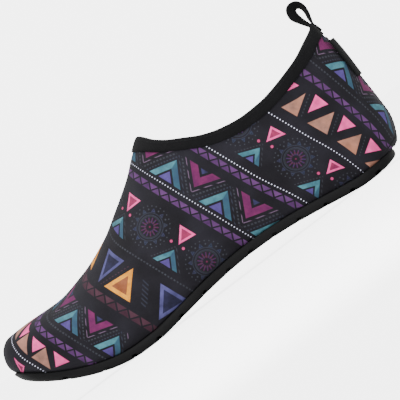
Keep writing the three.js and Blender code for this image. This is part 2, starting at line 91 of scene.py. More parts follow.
HINDFOOT = [
    (0.635, 0.568, 0.422, 0.008, 1.2, 0.215, 0.0, 1.95, 8.0),
    (0.705, 0.528, 0.43, 0.004, 1.225, 0.235, 0.0, 2.0, 8.0),
    (0.779, 0.505, 0.45, 0.0, 1.235, 0.262, 0.0, 2.0, 8.0),
    (0.861, 0.482, 0.46, 0.0, 1.2, 0.285, 0.0, 2.0, 8.0),
    (0.922, 0.418, 0.412, 0.0, 1.13, 0.295, 0.0, 2.0, 5.0),
    (0.959, 0.335, 0.335, 0.0, 1.03, 0.285, 0.002, 2.1, 3.0),
    (0.9734, 0.282, 0.282, 0.0, 1.02, 0.27, 0.005, 2.1, 2.6),
    (0.99, 0.18, 0.18, 0.0, 0.865, 0.262, 0.06, 2.1, 2.3),
    (0.996, 0.115, 0.115, 0.0, 0.71, 0.255, 0.1, 2.2, 2.2),
    (0.9988, 0.064, 0.064, 0.0, 0.51, 0.25, 0.132, 2.2, 2.2),
    (1.0, 0.0, 0.0, 0.0, 0.3, 0.245, 0.17, 2.2, 2.2),
]
# The collar's edge in side view: share of the length, and height in millimetres
COLLAR = [
    *((at, COLLAR_DIP + rise * (THROAT_HEIGHT - COLLAR_DIP)) for at, rise in (
        (0.516, 1.0), (0.533, 0.9), (0.553, 0.727), (0.574, 0.571),
        (0.602, 0.415), (0.64, 0.212), (0.685, 0.07), (0.739, 0.0))),
    *((at, COLLAR_DIP + rise * (HEEL_HEIGHT - COLLAR_DIP)) for at, rise in (
        (0.787, 0.025), (0.817, 0.1), (0.863, 0.27), (0.908, 0.48),
        (0.949, 0.77), (0.985, 1.0))),
]


# A smooth curve through points that never overshoots them
def smooth_through(xs, ys):
    xs, ys = np.array(xs, float), np.array(ys, float)
    gaps = np.diff(xs)
    slopes = np.diff(ys) / gaps
    bend = np.zeros(len(xs))
    bend[0], bend[-1] = slopes[0], slopes[-1]
    for i in range(1, len(xs) - 1):
        before, after = slopes[i - 1], slopes[i]
        if before * after > 0:
            wide, narrow = 2 * gaps[i] + gaps[i - 1], gaps[i] + 2 * gaps[i - 1]
            bend[i] = (wide + narrow) / (wide / before + narrow / after)

    def at(x):
        x = np.asarray(x, float)
        i = np.clip(np.searchsorted(xs, x, side="right") - 1, 0, len(gaps) - 1)
        t = np.clip((x - xs[i]) / gaps[i], 0, 1)
        a, b = t * t * (3 - 2 * t), t * (1 - t)
        return ys[i] * (1 - a) + ys[i + 1] * a + gaps[i] * b * (bend[i] * (1 - t) - bend[i + 1] * t)

    return at


def step(x, low, high):
    t = np.clip((np.asarray(x, float) - low) / (high - low), 0, 1)
    return t * t * (3 - 2 * t)


def bisected(inside, outside, holds):
    """The farthest place from inside towards outside where the condition holds."""
    for _ in range(40):
        middle = (inside + outside) / 2
        if holds(middle):
            inside = middle
        else:
            outside = middle
    return inside


def on_last(x):
    return np.clip(x, 0, LENGTH)


def heel_share(x):
    return np.maximum(0, (on_last(x) / LENGTH - HEEL_LEAVES) / (1 - HEEL_LEAVES))


def sole_line(x):
    toe = np.maximum(0, 1 - on_last(x) / (TOE_LEAVES * LENGTH))
    arch = np.clip((x / LENGTH - ARCH_FROM) / (ARCH_TO - ARCH_FROM), 0, 1)
    waist = np.sin(math.pi * arch) ** 1.2
    return TOE_SPRING * toe ** 1.8 + ARCH_RISE * waist + HEEL_LIFT * heel_share(x) ** 2


def bumper_share(x):
    return np.maximum(0, 1 - on_last(x) / (BUMPER_ENDS * LENGTH)) ** 2


def rim_line(x):
    return sole_line(x) + RIM_HEIGHT + TOE_BUMPER * bumper_share(x) - HEEL_TUCK * heel_share(x) ** 2


def rim_edge(x):
    """The rim as it is seen: at the toe it stays as low as along the side."""
    return rim_line(x) - TOE_RIM_DROP * bumper_share(x)


def endwise(x):
    return np.arccos(1 - 2 * on_last(x) / LENGTH) / math.pi


def last_columns():
    rows = []
    for table, width, height in ((FOREFOOT, BALL_WIDTH, THROAT_HEIGHT), (HINDFOOT, HEEL_WIDTH, HEEL_HEIGHT)):
        for at, lateral, medial, ridge, top, wide, lift, dome, keel in table:
            x = at * LENGTH
            rows.append((endwise(x), lateral * width, medial * width, ridge * width, top * height,
                         sole_line(x) + wide * height, lift * height, dome, keel))
    places = [row[0] for row in rows]
    return [smooth_through(places, [row[k] for row in rows]) for k in range(1, 9)]


COLUMNS = last_columns()


class Section:
    """The last's section at one or more places along it."""

    def __init__(self, x):
        self.x = np.asarray(x, float)
        place = endwise(self.x)
        (self.lateral, self.medial, self.ridge, self.top,
         self.wide, lift, self.dome, self.keel) = [column(place) for column in COLUMNS]
        self.base = np.minimum(self.wide, sole_line(self.x) + SOLE_UNDER + lift)

    # turn is 0 on the ridge and a quarter turn on the widest line; side is 1 for the outer side
    def point(self, turn, side):
        across, upward = np.sin(turn), np.cos(turn)
        half = self.lateral if side > 0 else self.medial
        above = upward >= 0
        wide = np.abs(across) ** (2 / np.where(above, self.dome, self.keel))
        tall = np.abs(upward) ** (2 / np.where(above, self.dome, np.minimum(self.keel, 3)))
        reach = np.where(above, self.top - self.wide, self.base - self.wide)
        z = self.wide + reach * tall
        return self.x + 0 * z, self.ridge - side * half * wide, z

    # Half the breadth at a height
    def half_at(self, z, side):
        half = self.lateral if side > 0 else self.medial
        rise = np.clip((z - self.wide) / np.maximum(1e-6, self.top - self.wide), 0, 1)
        fall = np.clip((self.wide - z) / np.maximum(1e-6, self.wide - self.base), 0, 1)
        high = (1 - rise ** self.dome) ** (1 / self.dome)
        low = (1 - fall ** np.minimum(self.keel, 3)) ** (1 / self.keel)
        return half * np.where(z > self.wide, high, low)


widest = Section(np.linspace(0.5, LENGTH - 0.5, 600))
SHIFT = Vector((
    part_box("upper")[0].x / MM,
    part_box("upper")[0].y / MM - float((widest.ridge - widest.lateral).min()),
    0,
))


def placed(x, y, z):
    return np.stack([x + SHIFT.x, y + SHIFT.y, z + SHIFT.z], axis=-1) * MM


# Meshes

def bare():
    bpy.ops.object.select_all(action="DESELECT")


def laid(name, places):
    """A grid primitive with its points laid on rows of places, in millimetres."""
    places = np.asarray(places, float)
    rows, columns = places.shape[:2]
    bare()
    bpy.ops.mesh.primitive_grid_add(
        x_subdivisions=columns - 1, y_subdivisions=rows - 1, size=1, calc_uvs=False)
    piece = bpy.context.active_object
    piece.name = name
    flat = placed(places[..., 0], places[..., 1], places[..., 2]).astype(np.float32)
    piece.data.vertices.foreach_set("co", flat.ravel())
    piece.data.update()
    return piece


def activate(piece):
    bare()
    piece.select_set(True)
    bpy.context.view_layer.objects.active = piece


def apply(piece, kind, **settings):
    activate(piece)
    modifier = piece.modifiers.new(kind.lower(), kind)
    for name, value in settings.items():
        setattr(modifier, name, value)
    bpy.ops.object.modifier_apply(modifier=modifier.name)


def shade_smooth(piece, angle=50):
    activate(piece)
    bpy.ops.object.shade_smooth_by_angle(angle=math.radians(angle))


def close_up(piece, distance=1e-6, ends=False):
    """Merges the seams of a laid grid, closes its ends and turns its faces outwards."""
    activate(piece)
    bpy.ops.object.mode_set(mode="EDIT")
    bpy.ops.mesh.select_all(action="SELECT")
    bpy.ops.mesh.remove_doubles(threshold=distance)
    if ends:
        bpy.ops.mesh.fill_holes(sides=0)
        bpy.ops.mesh.select_all(action="SELECT")
    bpy.ops.mesh.normals_make_consistent(inside=False)
    bpy.ops.object.mode_set(mode="OBJECT")


def joined(pieces):
    activate(pieces[0])
    for piece in pieces:
        piece.select_set(True)
    bpy.ops.object.join()
    return bpy.context.active_object


def closed_rows(places):
    """Rows of places with the first row again at the end, so that the grid meets itself."""
    return np.concatenate([places, places[:1]])


def closed_columns(places):
    return np.concatenate([places, places[:, :1]], axis=1)


def ring_faces(rows, columns):
    """Faces between rows of points, each row closed round."""
    faces = []
    for i in range(rows - 1):
        for j in range(columns):
            ahead = (j + 1) % columns
            below, above = i * columns, (i + 1) * columns
            faces.append((below + j, below + ahead, above + ahead, above + j))
    return faces


def note(piece, name, values):
    """Keeps a pair of numbers at each point of the mesh, for its material to read."""
    layer = piece.data.attributes.new(name, "FLOAT_VECTOR", "POINT")
    flat = np.zeros((len(values), 3), np.float32)
    flat[:, :2] = values
    layer.data.foreach_set("vector", flat.ravel())


def finish(piece, slot, material, *nodes):
    wanted = material if isinstance(material, list) else [material]
    while len(piece.data.materials) < len(wanted):
        piece.data.materials.append(None)
    for place, one in enumerate(wanted):
        piece.data.materials[place] = one
    if nodes:
        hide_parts(*nodes)
    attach(piece, "root")


# Collar

collar_at = np.array([at * LENGTH for at, _ in COLLAR])
collar_z = np.array([z for _, z in COLLAR])
chord = np.concatenate([[0], np.cumsum(np.hypot(np.diff(collar_at), np.diff(collar_z)))])
along = np.linspace(0, chord[-1], 240)
side_x, side_z = smooth_through(chord, collar_at)(along), smooth_through(chord, collar_z)(along)
slope_x, slope_z = np.gradient(side_x), np.gradient(side_z)
slope = np.hypot(slope_x, slope_z)
COLLAR_RUNS_ON = 40


def collar_line(distance):
    """The collar's edge in side view, moved down square to itself and run on past both ends."""
    line = np.stack([side_x + slope_z / slope * distance, side_z - slope_x / slope * distance], -1)

    def run_on(end, before):
        return end + (end - before) / np.hypot(*(end - before)) * COLLAR_RUNS_ON

    line = np.concatenate([[run_on(line[0], line[1])], line, [run_on(line[-1], line[-2])]])
    return line[:, 0], line[:, 1]


# Print coordinates

PLANE_TILT, HEEL_TILT_LESS = 0.4, 0.13
TOE_CURL, TOE_GATHER, TOE_FADE, TIP_CURL = 11.6, 13.2, 19.6, 0.75
LOW_SIDE_BACK, LOW_HEEL_ON, SIDE_SPREAD = 2.0, 2.2, 0.4
ACROSS, ALONG = 0.9285, 0.371
WRAP_FROM, WRAP_COLUMNS, WRAP_LEVELS, WRAP_STEP = 200, 161, 51, 2

wrap_x = WRAP_FROM + (LENGTH - WRAP_FROM) * (1 - (1 - np.linspace(0, 1, WRAP_COLUMNS)) ** 2)


def build_wrap_table():
    """Distances round the heel's outline behind WRAP_FROM, a row for each level."""
    ends = Section(wrap_x)
    table = []
    for height in np.arange(WRAP_LEVELS) * WRAP_STEP:
        half = ends.half_at(np.maximum(height, ends.wide - 0.8 * (ends.wide - ends.base)), 1)
        table.append(np.concatenate([[0], np.cumsum(np.hypot(np.diff(wrap_x), np.diff(half)))]))
    return np.array(table)


wrap_table = build_wrap_table()


def wrapped(x, z):
    """Distance along the shoe, counted round the back of the heel."""
    row = np.clip(z / WRAP_STEP, 0, WRAP_LEVELS - 1.001)
    low = row.astype(int)
    share = row - low
    column = np.interp(x, wrap_x, np.arange(len(wrap_x)))
    left = np.clip(column.astype(int), 0, len(wrap_x) - 2)
    part = column - left
    value = 0
    for dr, wr in ((0, 1 - share), (1, share)):
        for dc, wc in ((0, 1 - part), (1, part)):
            value = value + wr * wc * wrap_table[low + dr, left + dc]
    return np.where(x > WRAP_FROM, WRAP_FROM + value, x)


def print_place(x, z, girth, from_ridge):
    """Where a point of the side lies in the print: across the foot, and along it."""
    round_heel = wrapped(x, z)
    tilt = PLANE_TILT - HEEL_TILT_LESS * step(round_heel, 205, 225)
    down = -z + SIDE_SPREAD * np.clip((200 - x) / 60, 0, 1) * girth
    low_side = step(x, 145, 175) * (1 - step(x, 195, 215)) * (1 - step(z, 14, 42))
    low_heel = step(x, 220, 238) * (1 - step(z, 8, 30))
    near_ridge = np.exp(-((from_ridge / TOE_FADE) ** 2))
    gather = near_ridge * (1 - step(x, 25, 95))
    curl = near_ridge * (TIP_CURL + (1 - TIP_CURL) * step(x, 8, 28)) * (1 - step(x, 35, 130))
    a = ALONG * round_heel + ACROSS * down - TOE_GATHER * gather
    b = ACROSS * (round_heel + 40 * PLANE_TILT + tilt * (z - 40))
    return a, b - TOE_CURL * curl - LOW_SIDE_BACK * low_side + LOW_HEEL_ON * low_heel


# Upper

COLUMN_COUNT, ROW_COUNT = 270, 77
CUT_BELOW = 2.2
# The lasting margin widens round the heel, from one place along the shoe to another
HEEL_MARGIN, HEEL_MARGIN_FROM, HEEL_MARGIN_FULL = 12, 214, 232
# The toe cap's bulge: how far out, at what height, and how tall and long it is
TOE_CAP, TOE_CAP_AT, TOE_CAP_TALL, TOE_CAP_LONG = 2.0, 36.5, 8, 10
# Each trough has a lower ridge on both sides, and lies a little off on the inner side
RIDGE_SHARE, RIDGE_AWAY, INNER_BACK, INNER_DOWN = 0.6, 2.1, 2.5, 1.5
CREASES = [
    # x, z, half length, half width, lean of the trough in degrees, depth
    (118, 66, 15, 4.5, -52, 0.35),
    (127, 55, 17, 5.0, -60, 0.3),
    (139, 26, 15, 4.0, -74, 0.25),
    (96, 30, 16, 5.0, -40, 0.25),
    (170, 60, 13, 4.0, 12, 0.25),
    (206, 60, 13, 4.0, 52, 0.25),
    (222, 24, 10, 3.5, 80, 0.2),
    (60, 22, 12, 4.0, -24, 0.2),
]


def creased(x, z, side):
    """How far soft troughs and ridges move the cloth."""
    moved = 0 * x
    for at, height, length, width, lean, depth in CREASES:
        lean = math.radians(lean)
        dx, dz = x - at - (1 - side) * INNER_BACK, z - height + (1 - side) * INNER_DOWN
        u = dx * math.cos(lean) + dz * math.sin(lean)
        v = -dx * math.sin(lean) + dz * math.cos(lean)
        fade = np.exp(-((u / length) ** 2))
        moved = moved - depth * fade * np.exp(-((v / width) ** 2))
        ridge = np.exp(-(((np.abs(v) - RIDGE_AWAY * width) / width) ** 2))
        moved = moved + RIDGE_SHARE * depth * fade * ridge
    return moved


def upper_side(side):
    share = np.linspace(0, 1, COLUMN_COUNT + 1)[1:-1]
    x = LENGTH * (1 - np.cos(math.pi * share)) / 2
    cut_x, cut_z = collar_line(CUT_BELOW)
    line = np.interp(x, cut_x, cut_z)
    points, places = [], []
    for at, cut in zip(x, line):
        section = Section(np.full(400, at))
        start = 0.0
        if section.top[0] > cut:
            rise = (cut - section.wide[0]) / (section.top[0] - section.wide[0])
            start = math.acos(max(0.0, rise) ** (section.dome[0] / 2))
        half = float(section.lateral[0] if side > 0 else section.medial[0])
        margin = MARGIN + HEEL_MARGIN * float(step(at, HEEL_MARGIN_FROM, HEEL_MARGIN_FULL))
        inner = max(0.0, (half - margin) / max(half, 1e-6))
        end = math.pi - math.asin(inner ** (float(section.keel[0]) / 2))
        turn = math.pi * np.linspace(0, 1, 400)
        _, py, pz = section.point(turn, side)
        length = np.concatenate([[0], np.cumsum(np.hypot(np.diff(py), np.diff(pz)))])
        first, last = np.interp([start, end], turn, length)
        even = np.linspace(first, last, ROW_COUNT)
        turns = np.interp(even, length, turn)
        spot = Section(np.full(ROW_COUNT, at))
        qx, qy, qz = spot.point(turns, side)
        level = np.interp(math.pi / 2, turn, length) + spot.wide[0]
        points.append(np.stack([qx, qy, qz], -1))
        places.append(np.stack(print_place(qx, qz, even - level + qz, even), -1))
    return np.array(points), np.array(places)


def build_upper():
    """Both sides of the cloth, from the collar round to the lasting margin, joined along the ridge."""
    sides = []
    for side in (1, -1):
        grid, spots = upper_side(side)
        tips, tip_spots = [], []
        for end, at in ((0, 0.0), (-1, LENGTH)):
            tip = np.array(Section(at).point(0.0, side), float)
            tips.append(np.tile(tip, (1, ROW_COUNT, 1)))
            tip_spots.append(np.tile(spots[end].mean(axis=0), (1, ROW_COUNT, 1)))
        grid = np.concatenate([tips[0], grid, tips[1]])
        spots = np.concatenate([tip_spots[0], spots, tip_spots[1]])
        half = laid("upper", grid if side < 0 else grid[::-1])
        note(half, "print", (spots if side < 0 else spots[::-1]).reshape(-1, 2))
        sides.append(half)
    made = joined(sides)
    close_up(made, 2e-5)
    return made


upper = build_upper()


# A closed copy of the last without the opening, to lay the collar's tape on

def build_form():
    share = np.linspace(0, 1, 300 + 1)[1:-1]
    x = LENGTH * (1 - np.cos(math.pi * share)) / 2
    turns = np.linspace(0, math.pi, 121)
    rings = []
    for at in x:
        section = Section(np.full(len(turns), at))
        outer = np.stack(section.point(turns, 1), -1)
        inner = np.stack(section.point(turns, -1), -1)[::-1][1:-1]
        rings.append(np.concatenate([outer, inner]))
    rings = np.array(rings)
    faces = ring_faces(len(rings), rings.shape[1])
    return BVHTree.FromPolygons([Vector(p) for p in rings.reshape(-1, 3)], faces)


form = build_form()
AXIS_SHARE, AXIS_START = 0.94, 8


def on_form(point):
    """The nearest place on the last, and the way out there."""
    spot, normal, _, _ = form.find_nearest(Vector(point))
    section = Section(np.array([spot.x]))
    axis = Vector((spot.x * AXIS_SHARE + AXIS_START, float(section.ridge[0]), float(section.wide[0])))
    outwards = spot - axis
    if normal.dot(outwards) < 0:
        normal = -normal
    return spot, normal


def smoothed(vectors, times):
    values = np.array([tuple(v) for v in vectors])
    for _ in range(times):
        before, after = np.roll(values, 1, axis=0), np.roll(values, -1, axis=0)
        values = 0.25 * before + 0.5 * values + 0.25 * after
    return values


def vertex_rows(mesh, field):
    flat = np.zeros(len(mesh.vertices) * 3, np.float32)
    mesh.vertices.foreach_get(field, flat)
    return flat.reshape(-1, 3)


def dress_upper():
    """Gives the upper's cloth its creases, the toe cap's bulge and its thickness."""
    mesh = upper.data
    mesh.materials.append(None)
    mesh.materials.append(None)
    normals = vertex_rows(mesh, "normal")
    spots = vertex_rows(mesh, "co") / MM
    for side in (1, -1):
        mine = (normals[:, 1] < 0) == (side > 0)
        moved = creased(spots[:, 0] - SHIFT.x, spots[:, 2], side) * mine * np.abs(normals[:, 1])
        spots = spots + normals * moved[:, None]
    at, height = spots[:, 0] - SHIFT.x, spots[:, 2]
    bulge = np.exp(-((at / TOE_CAP_LONG) ** 2)) * np.exp(-(((height - TOE_CAP_AT) / TOE_CAP_TALL) ** 2))
    spots = spots + normals * (TOE_CAP * bulge)[:, None]
    mesh.vertices.foreach_set("co", (spots * MM).astype(np.float32).ravel())
    mesh.update()
    apply(upper, "SOLIDIFY", thickness=WALL * MM, offset=-1, use_even_offset=False,
          material_offset=1, material_offset_rim=1)
    shade_smooth(upper, 60)


dress_upper()


# Collar tape

def collar_loop(count):
    """Points of the collar's edge on the last, evenly spaced, from the throat round the outer side."""
    x, z = collar_line(0)
    fine = np.linspace(0, 1, 6000)
    step_length = np.concatenate([[0], np.cumsum(np.hypot(np.diff(x), np.diff(z)))])
    fx = np.interp(fine * step_length[-1], step_length, x)
    fz = np.interp(fine * step_length[-1], step_length, z)
    section = Section(np.clip(fx, 0.01, LENGTH - 0.01))
    inside = (fz < section.top) & (fx < LENGTH) & (fx > 0)
    keep = np.nonzero(inside)[0]
    fx, fz = fx[keep[0]:keep[-1] + 1], fz[keep[0]:keep[-1] + 1]
    section = Section(fx)
    outer = np.stack([fx, section.ridge - section.half_at(fz, 1), fz], -1)
    inner = np.stack([fx, section.ridge + section.half_at(fz, -1), fz], -1)[::-1]
    ring = np.concatenate([outer, inner])
    gap = np.linalg.norm(np.roll(ring, -1, axis=0) - ring, axis=1)
    run = np.concatenate([[0], np.cumsum(gap)])
    ring = np.concatenate([ring, ring[:1]])
    target = np.linspace(0, run[-1], count, endpoint=False)
    even = np.stack([np.interp(target, run, ring[:, k]) for k in range(3)], -1)
    return smoothed(even, 6), run[-1]


LOOP_COUNT = 420
collar, collar_run = collar_loop(LOOP_COUNT)


def downhill(ring, normals):
    """Unit steps along the surface, square to a ring of points."""
    tangent = np.roll(ring, -1, axis=0) - np.roll(ring, 1, axis=0)
    way = np.cross(tangent, normals)
    return way / np.linalg.norm(way, axis=1)[:, None]


def descend(ring, reach, steps):
    """Rings of points and normals that walk down the last from the collar's edge."""
    above = ring.mean(axis=0) + np.array([0, 0, 30.0])
    found = [on_form(p) for p in ring]
    now = np.array([tuple(spot) for spot, _ in found])
    normal = smoothed([n for _, n in found], 6)
    points, normals = [now], [normal]
    away = np.sign(np.sum(downhill(now, normal) * (now - above), axis=1))
    sign = 1 if away.sum() > 0 else -1
    for _ in range(steps):
        found = [on_form(p) for p in now + sign * downhill(now, normal) * (reach / steps)]
        now = smoothed([spot for spot, _ in found], 1)
        normal = smoothed([n for _, n in found], 6)
        normal /= np.linalg.norm(normal, axis=1)[:, None]
        points.append(now)
        normals.append(normal)
    return np.array(points), np.array(normals)


TAPE_REACH, TAPE_CLOTH, TAPE_CROWN = BINDING_WIDTH + 0.7, 0.55, 0.12
STEPS_DOWN = 14
# The tape rises where the loop gathers it at the heel, and peaks at the throat
LOOP_GATHER, GATHER_HALF, GATHER_DEEP, HEEL_FROM = 2.0, 6, 4, 200
THROAT_PEAK, PEAK_LONG, PEAK_DEEP, THROAT_TO = 1.4, 5, 5, 140
PEAK_WAY = np.array([1.17, 0, 0.85])
tape_rings, tape_normals = descend(collar, TAPE_REACH, STEPS_DOWN)


def on_tape(u, down, off):
    """A point of the collar's tape: which place along it, how far below its edge, and how far out."""
    k = min(STEPS_DOWN - 1e-6, max(0.0, down / TAPE_REACH * STEPS_DOWN))
    i, t = int(k), k - int(k)
    spot = tape_rings[i][u] * (1 - t) + tape_rings[i + 1][u] * t
    if spot[0] > HEEL_FROM:
        rise = LOOP_GATHER * math.exp(-((spot[1] / GATHER_HALF) ** 2)) * max(0, 1 - down / GATHER_DEEP)
        spot = spot + np.array([0, 0, rise])
    elif spot[0] < THROAT_TO:
        near = math.exp(-(((spot[0] - collar_at[0]) / PEAK_LONG) ** 2))
        spot = spot + PEAK_WAY * THROAT_PEAK * near * max(0, 1 - down / PEAK_DEEP)
    normal = tape_normals[i][u] * (1 - t) + tape_normals[i + 1][u] * t
    return spot + normal / np.linalg.norm(normal) * off


def tape_face(down):
    """How far the tape's outer side stands off the last, crowned between its edges."""
    return BINDING_REACH + TAPE_CROWN * math.sin(math.pi * (BINDING_WIDTH - down) / BINDING_WIDTH)


def build_binding():
    outer, inner = BINDING_REACH, -WALL - BINDING_REACH
    middle, radius = (outer + inner) / 2, (outer - inner) / 2
    fold = 0.95 * radius
    profile = [(BINDING_WIDTH, 0.26), (BINDING_WIDTH + 0.02, outer - 0.22),
               (BINDING_WIDTH - 0.18, outer - 0.05)]
    profile += [(down, tape_face(down)) for down in (5.6, 4.9, 4.2, 3.4, 2.6, 2.0)]
    profile += [(fold * (1 - math.sin(turn)), middle + radius * math.cos(turn))
                for turn in np.linspace(0, math.pi, 9)]
    profile += [(down, inner) for down in (2.6, 3.6, 4.8)]
    profile += [(BINDING_WIDTH - 0.3, inner + 0.05), (BINDING_WIDTH - 0.1, inner + 0.3),
                (BINDING_WIDTH - 0.1, inner + TAPE_CLOTH), (2.2, inner + TAPE_CLOTH),
                (1.6, middle), (2.2, outer - TAPE_CLOTH)]
    points, places = [], []
    for u in range(LOOP_COUNT):
        for down, off in profile:
            points.append(on_tape(u, down, off))
            places.append((u / LOOP_COUNT * collar_run, down if off > middle else -down))
    points = np.array(points).reshape(LOOP_COUNT, len(profile), 3)
    places = np.array(places, float).reshape(LOOP_COUNT, len(profile), 2)
    made = laid("collar_binding", closed_columns(closed_rows(points)))
    note(made, "tape", closed_columns(closed_rows(places)).reshape(-1, 2))
    close_up(made)
    shade_smooth(made, 55)
    return made


binding = build_binding()


def build_stitches(name, spots, radius):
    """One rounded stitch, copied between pairs of points, each copy a mesh of its own."""
    bare()
    bpy.ops.mesh.primitive_uv_sphere_add(segments=6, ring_count=5, radius=1)
    pattern = bpy.context.active_object
    copies = []
    for start, end, out in spots:
        start, end, out = Vector(start), Vector(end), Vector(out)
        run = end - start
        side = run.cross(out).normalized()
        out = side.cross(run).normalized()
        middle = Vector(placed(*((start + end) / 2)))
        frame_of = Matrix((side * radius * MM, out * radius * MM, run * 0.5 * MM)).transposed().to_4x4()
        frame_of.translation = middle
        one = pattern.copy()
        one.data = pattern.data.copy()
        one.data.transform(frame_of)
        bpy.context.scene.collection.objects.link(one)
        copies.append(one)
    bpy.data.objects.remove(pattern)
    made = joined(copies)
    made.name = name
    close_up(made, 1e-9)
    shade_smooth(made, 80)
    return made


STITCH_PITCH, STITCH_DOWN, STITCH_RADIUS = 2.5, 2.4, 0.14


def binding_stitches():
    count = int(collar_run / STITCH_PITCH)
    level = int(STITCH_DOWN / TAPE_REACH * STEPS_DOWN)
    spots = []
    for i in range(count):
        start, end = (int(LOOP_COUNT * (i + share) / count) % LOOP_COUNT for share in (0.12, 0.82))
        ends = [on_tape(u, STITCH_DOWN, tape_face(STITCH_DOWN)) for u in (start, end)]
        spots.append((*ends, tape_normals[level][start]))
    return build_stitches("collar_stitches", spots, STITCH_RADIUS)


collar_stitches = binding_stitches()


# Outsole

GROOVE_DEPTH, GROOVE_WIDTH, GROOVE_WAVE, GROOVE_COUNT = 1.9, 3.4, 2.6, 13
FIRST_GROOVE, LAST_GROOVE, GROOVE_BENDS = 0.092, 0.907, 8
GROOVE_FOOT, GROOVE_LIP = 0.25, 0.35
SOLE_COLUMNS, SOLE_ROWS, SOLE_ROUND = 420, 56, 1.8
RIM_FACE_BELOW, SIDE_CROWN = 0.8, 0.1
TIP_LENGTH, TIP_TUCK, TUCK_AT_EDGE, TUCK_BELOW = 14, 2.2, 0.7, 0.6
HEEL_PULL, HEEL_PULL_FROM, HEEL_PULL_LENGTH = 2.0, 205, 27


def groove_depth(x, y):
    """How deep the zigzag grooves cut into the underside at a place."""
    bend = (y / (1.1 * BALL_WIDTH) + 0.5) * GROOVE_BENDS
    wave = GROOVE_WAVE * (1 - 2 * np.abs((bend % 2) - 1))
    pitch = (LAST_GROOVE - FIRST_GROOVE) / (GROOVE_COUNT - 1) * LENGTH
    local = x - wave - FIRST_GROOVE * LENGTH
    index = np.clip(np.round(local / pitch), 0, GROOVE_COUNT - 1)
    off = np.abs(local - index * pitch)
    return GROOVE_DEPTH * (1 - step(off, GROOVE_WIDTH / 2 - GROOVE_FOOT, GROOVE_WIDTH / 2 + GROOVE_LIP))


def sole_outline(height):
    """Points round the last at a height that follows its length, evenly spaced."""
    def under(x):
        return float(Section(np.array([x])).base[0]) < float(height(x))

    front, back = bisected(LENGTH / 4, 0.0, under), bisected(0.85 * LENGTH, LENGTH, under)
    even = np.linspace(0, 1, SOLE_COLUMNS)
    share = 0.35 * (1 - np.cos(math.pi * even)) / 2 + 0.65 * even
    x = front + (back - front) * (share * 0.9996 + 0.0002)
    section = Section(x)
    ring = np.concatenate([
        np.stack([x, section.ridge - section.half_at(height(x), 1)], -1),
        np.stack([x, section.ridge + section.half_at(height(x), -1)], -1)[::-1],
    ])
    run = np.concatenate([[0], np.cumsum(np.linalg.norm(np.roll(ring, -1, 0) - ring, axis=1))])
    ring = np.concatenate([ring, ring[:1]])
    target = np.linspace(0, run[-1], 2 * SOLE_COLUMNS, endpoint=False)
    ring = smoothed(np.stack([np.interp(target, run, ring[:, k]) for k in range(2)], -1), 3)
    ring[:, 0] -= HEEL_PULL * np.clip((ring[:, 0] - HEEL_PULL_FROM) / HEEL_PULL_LENGTH, 0, 1) ** 2
    return ring


def sheet_between(ring, height):
    """A sheet of chords between both sides of a ring, at heights of its own inside."""
    total = len(ring)
    half = total // 2
    near, far = np.arange(half + 1), (total - np.arange(half + 1)) % total
    t = np.linspace(0, 1, SOLE_ROWS + 1)[None, :, None]
    sheet = ring[near][:, None] * (1 - t) + ring[far][:, None] * t
    inner = sheet[1:-1, 1:-1]
    sheet[1:-1, 1:-1, 2] = height(inner[..., 0], inner[..., 1])
    return sheet


def build_outsole():
    plan, bumper = sole_outline(rim_edge), sole_outline(rim_line)
    tangent = np.roll(bumper, -1, 0) - np.roll(bumper, 1, 0)
    tangent /= np.linalg.norm(tangent, axis=1)[:, None]
    outward = np.stack([tangent[:, 1], -tangent[:, 0]], -1)
    if np.sum(outward * (plan - plan.mean(axis=0))) < 0:
        outward = -outward
    wall_out = FIT + RIM_WALL
    levels = []

    def ring_at(offset, under=0.0):
        share = min(1, max(0, (offset - FIT) / RIM_WALL))
        ring = plan * (1 - share) + bumper * share + outward * offset
        tip = np.maximum(0, 1 - (ring[:, 0] - ring[:, 0].min()) / TIP_LENGTH) ** 2
        return ring + np.stack([TIP_TUCK * under * tip, 0 * tip], -1)

    def add(offset, height, under=0.0):
        here = ring_at(offset, under)
        levels.append(np.stack([here[:, 0], here[:, 1], height(here[:, 0], here[:, 1])], -1))

    # Inner wall of the cup and its rounded rim: how far out from the last, and how far below the edge
    for offset, down in ((FIT - 0.1, 2.4), (FIT, 0.7), (FIT + 0.12, 0.18), (FIT + 0.45, 0),
                         (wall_out - 0.5, 0.02), (wall_out - 0.12, 0.25), (wall_out, RIM_FACE_BELOW)):
        add(offset, lambda x, y: rim_edge(x) - down)
    # The side band, then the rounded lower edge
    for part in (0.25, 0.5, 0.75):
        add(wall_out + SIDE_CROWN * math.sin(math.pi * part),
            lambda x, y: (rim_edge(x) - RIM_FACE_BELOW) * (1 - part) + (sole_line(x) + SOLE_ROUND) * part,
            part * TUCK_AT_EDGE)
    for part in np.linspace(0, 1, 6):
        turn = math.pi / 2 * part
        add(wall_out - SOLE_ROUND * (1 - math.cos(turn)),
            lambda x, y: sole_line(x) + np.maximum(SOLE_ROUND * (1 - math.sin(turn)), groove_depth(x, y)),
            TUCK_AT_EDGE + TUCK_BELOW * part)
    rings = np.array(levels)
    sides = laid("outsole", closed_columns(rings))
    under = laid("underside", sheet_between(rings[-1], lambda x, y: sole_line(x) + groove_depth(x, y)))
    cup = laid("cup_floor", sheet_between(rings[0], lambda x, y: sole_line(x) + SOLE_UNDER - FIT))
    made = joined([sides, under, cup])
    close_up(made, 5e-6)
    shade_smooth(made, 38)
    return made


outsole = build_outsole()


# Insole

INSOLE_ROWS, INSOLE_COLUMNS = 159, 49
INSOLE_ENDS, INSOLE_GAP, INSOLE_ROUND, INSOLE_UNDER, INSOLE_OFF_FLOOR = 4.0, 0.15, 0.5, 0.95, 0.4


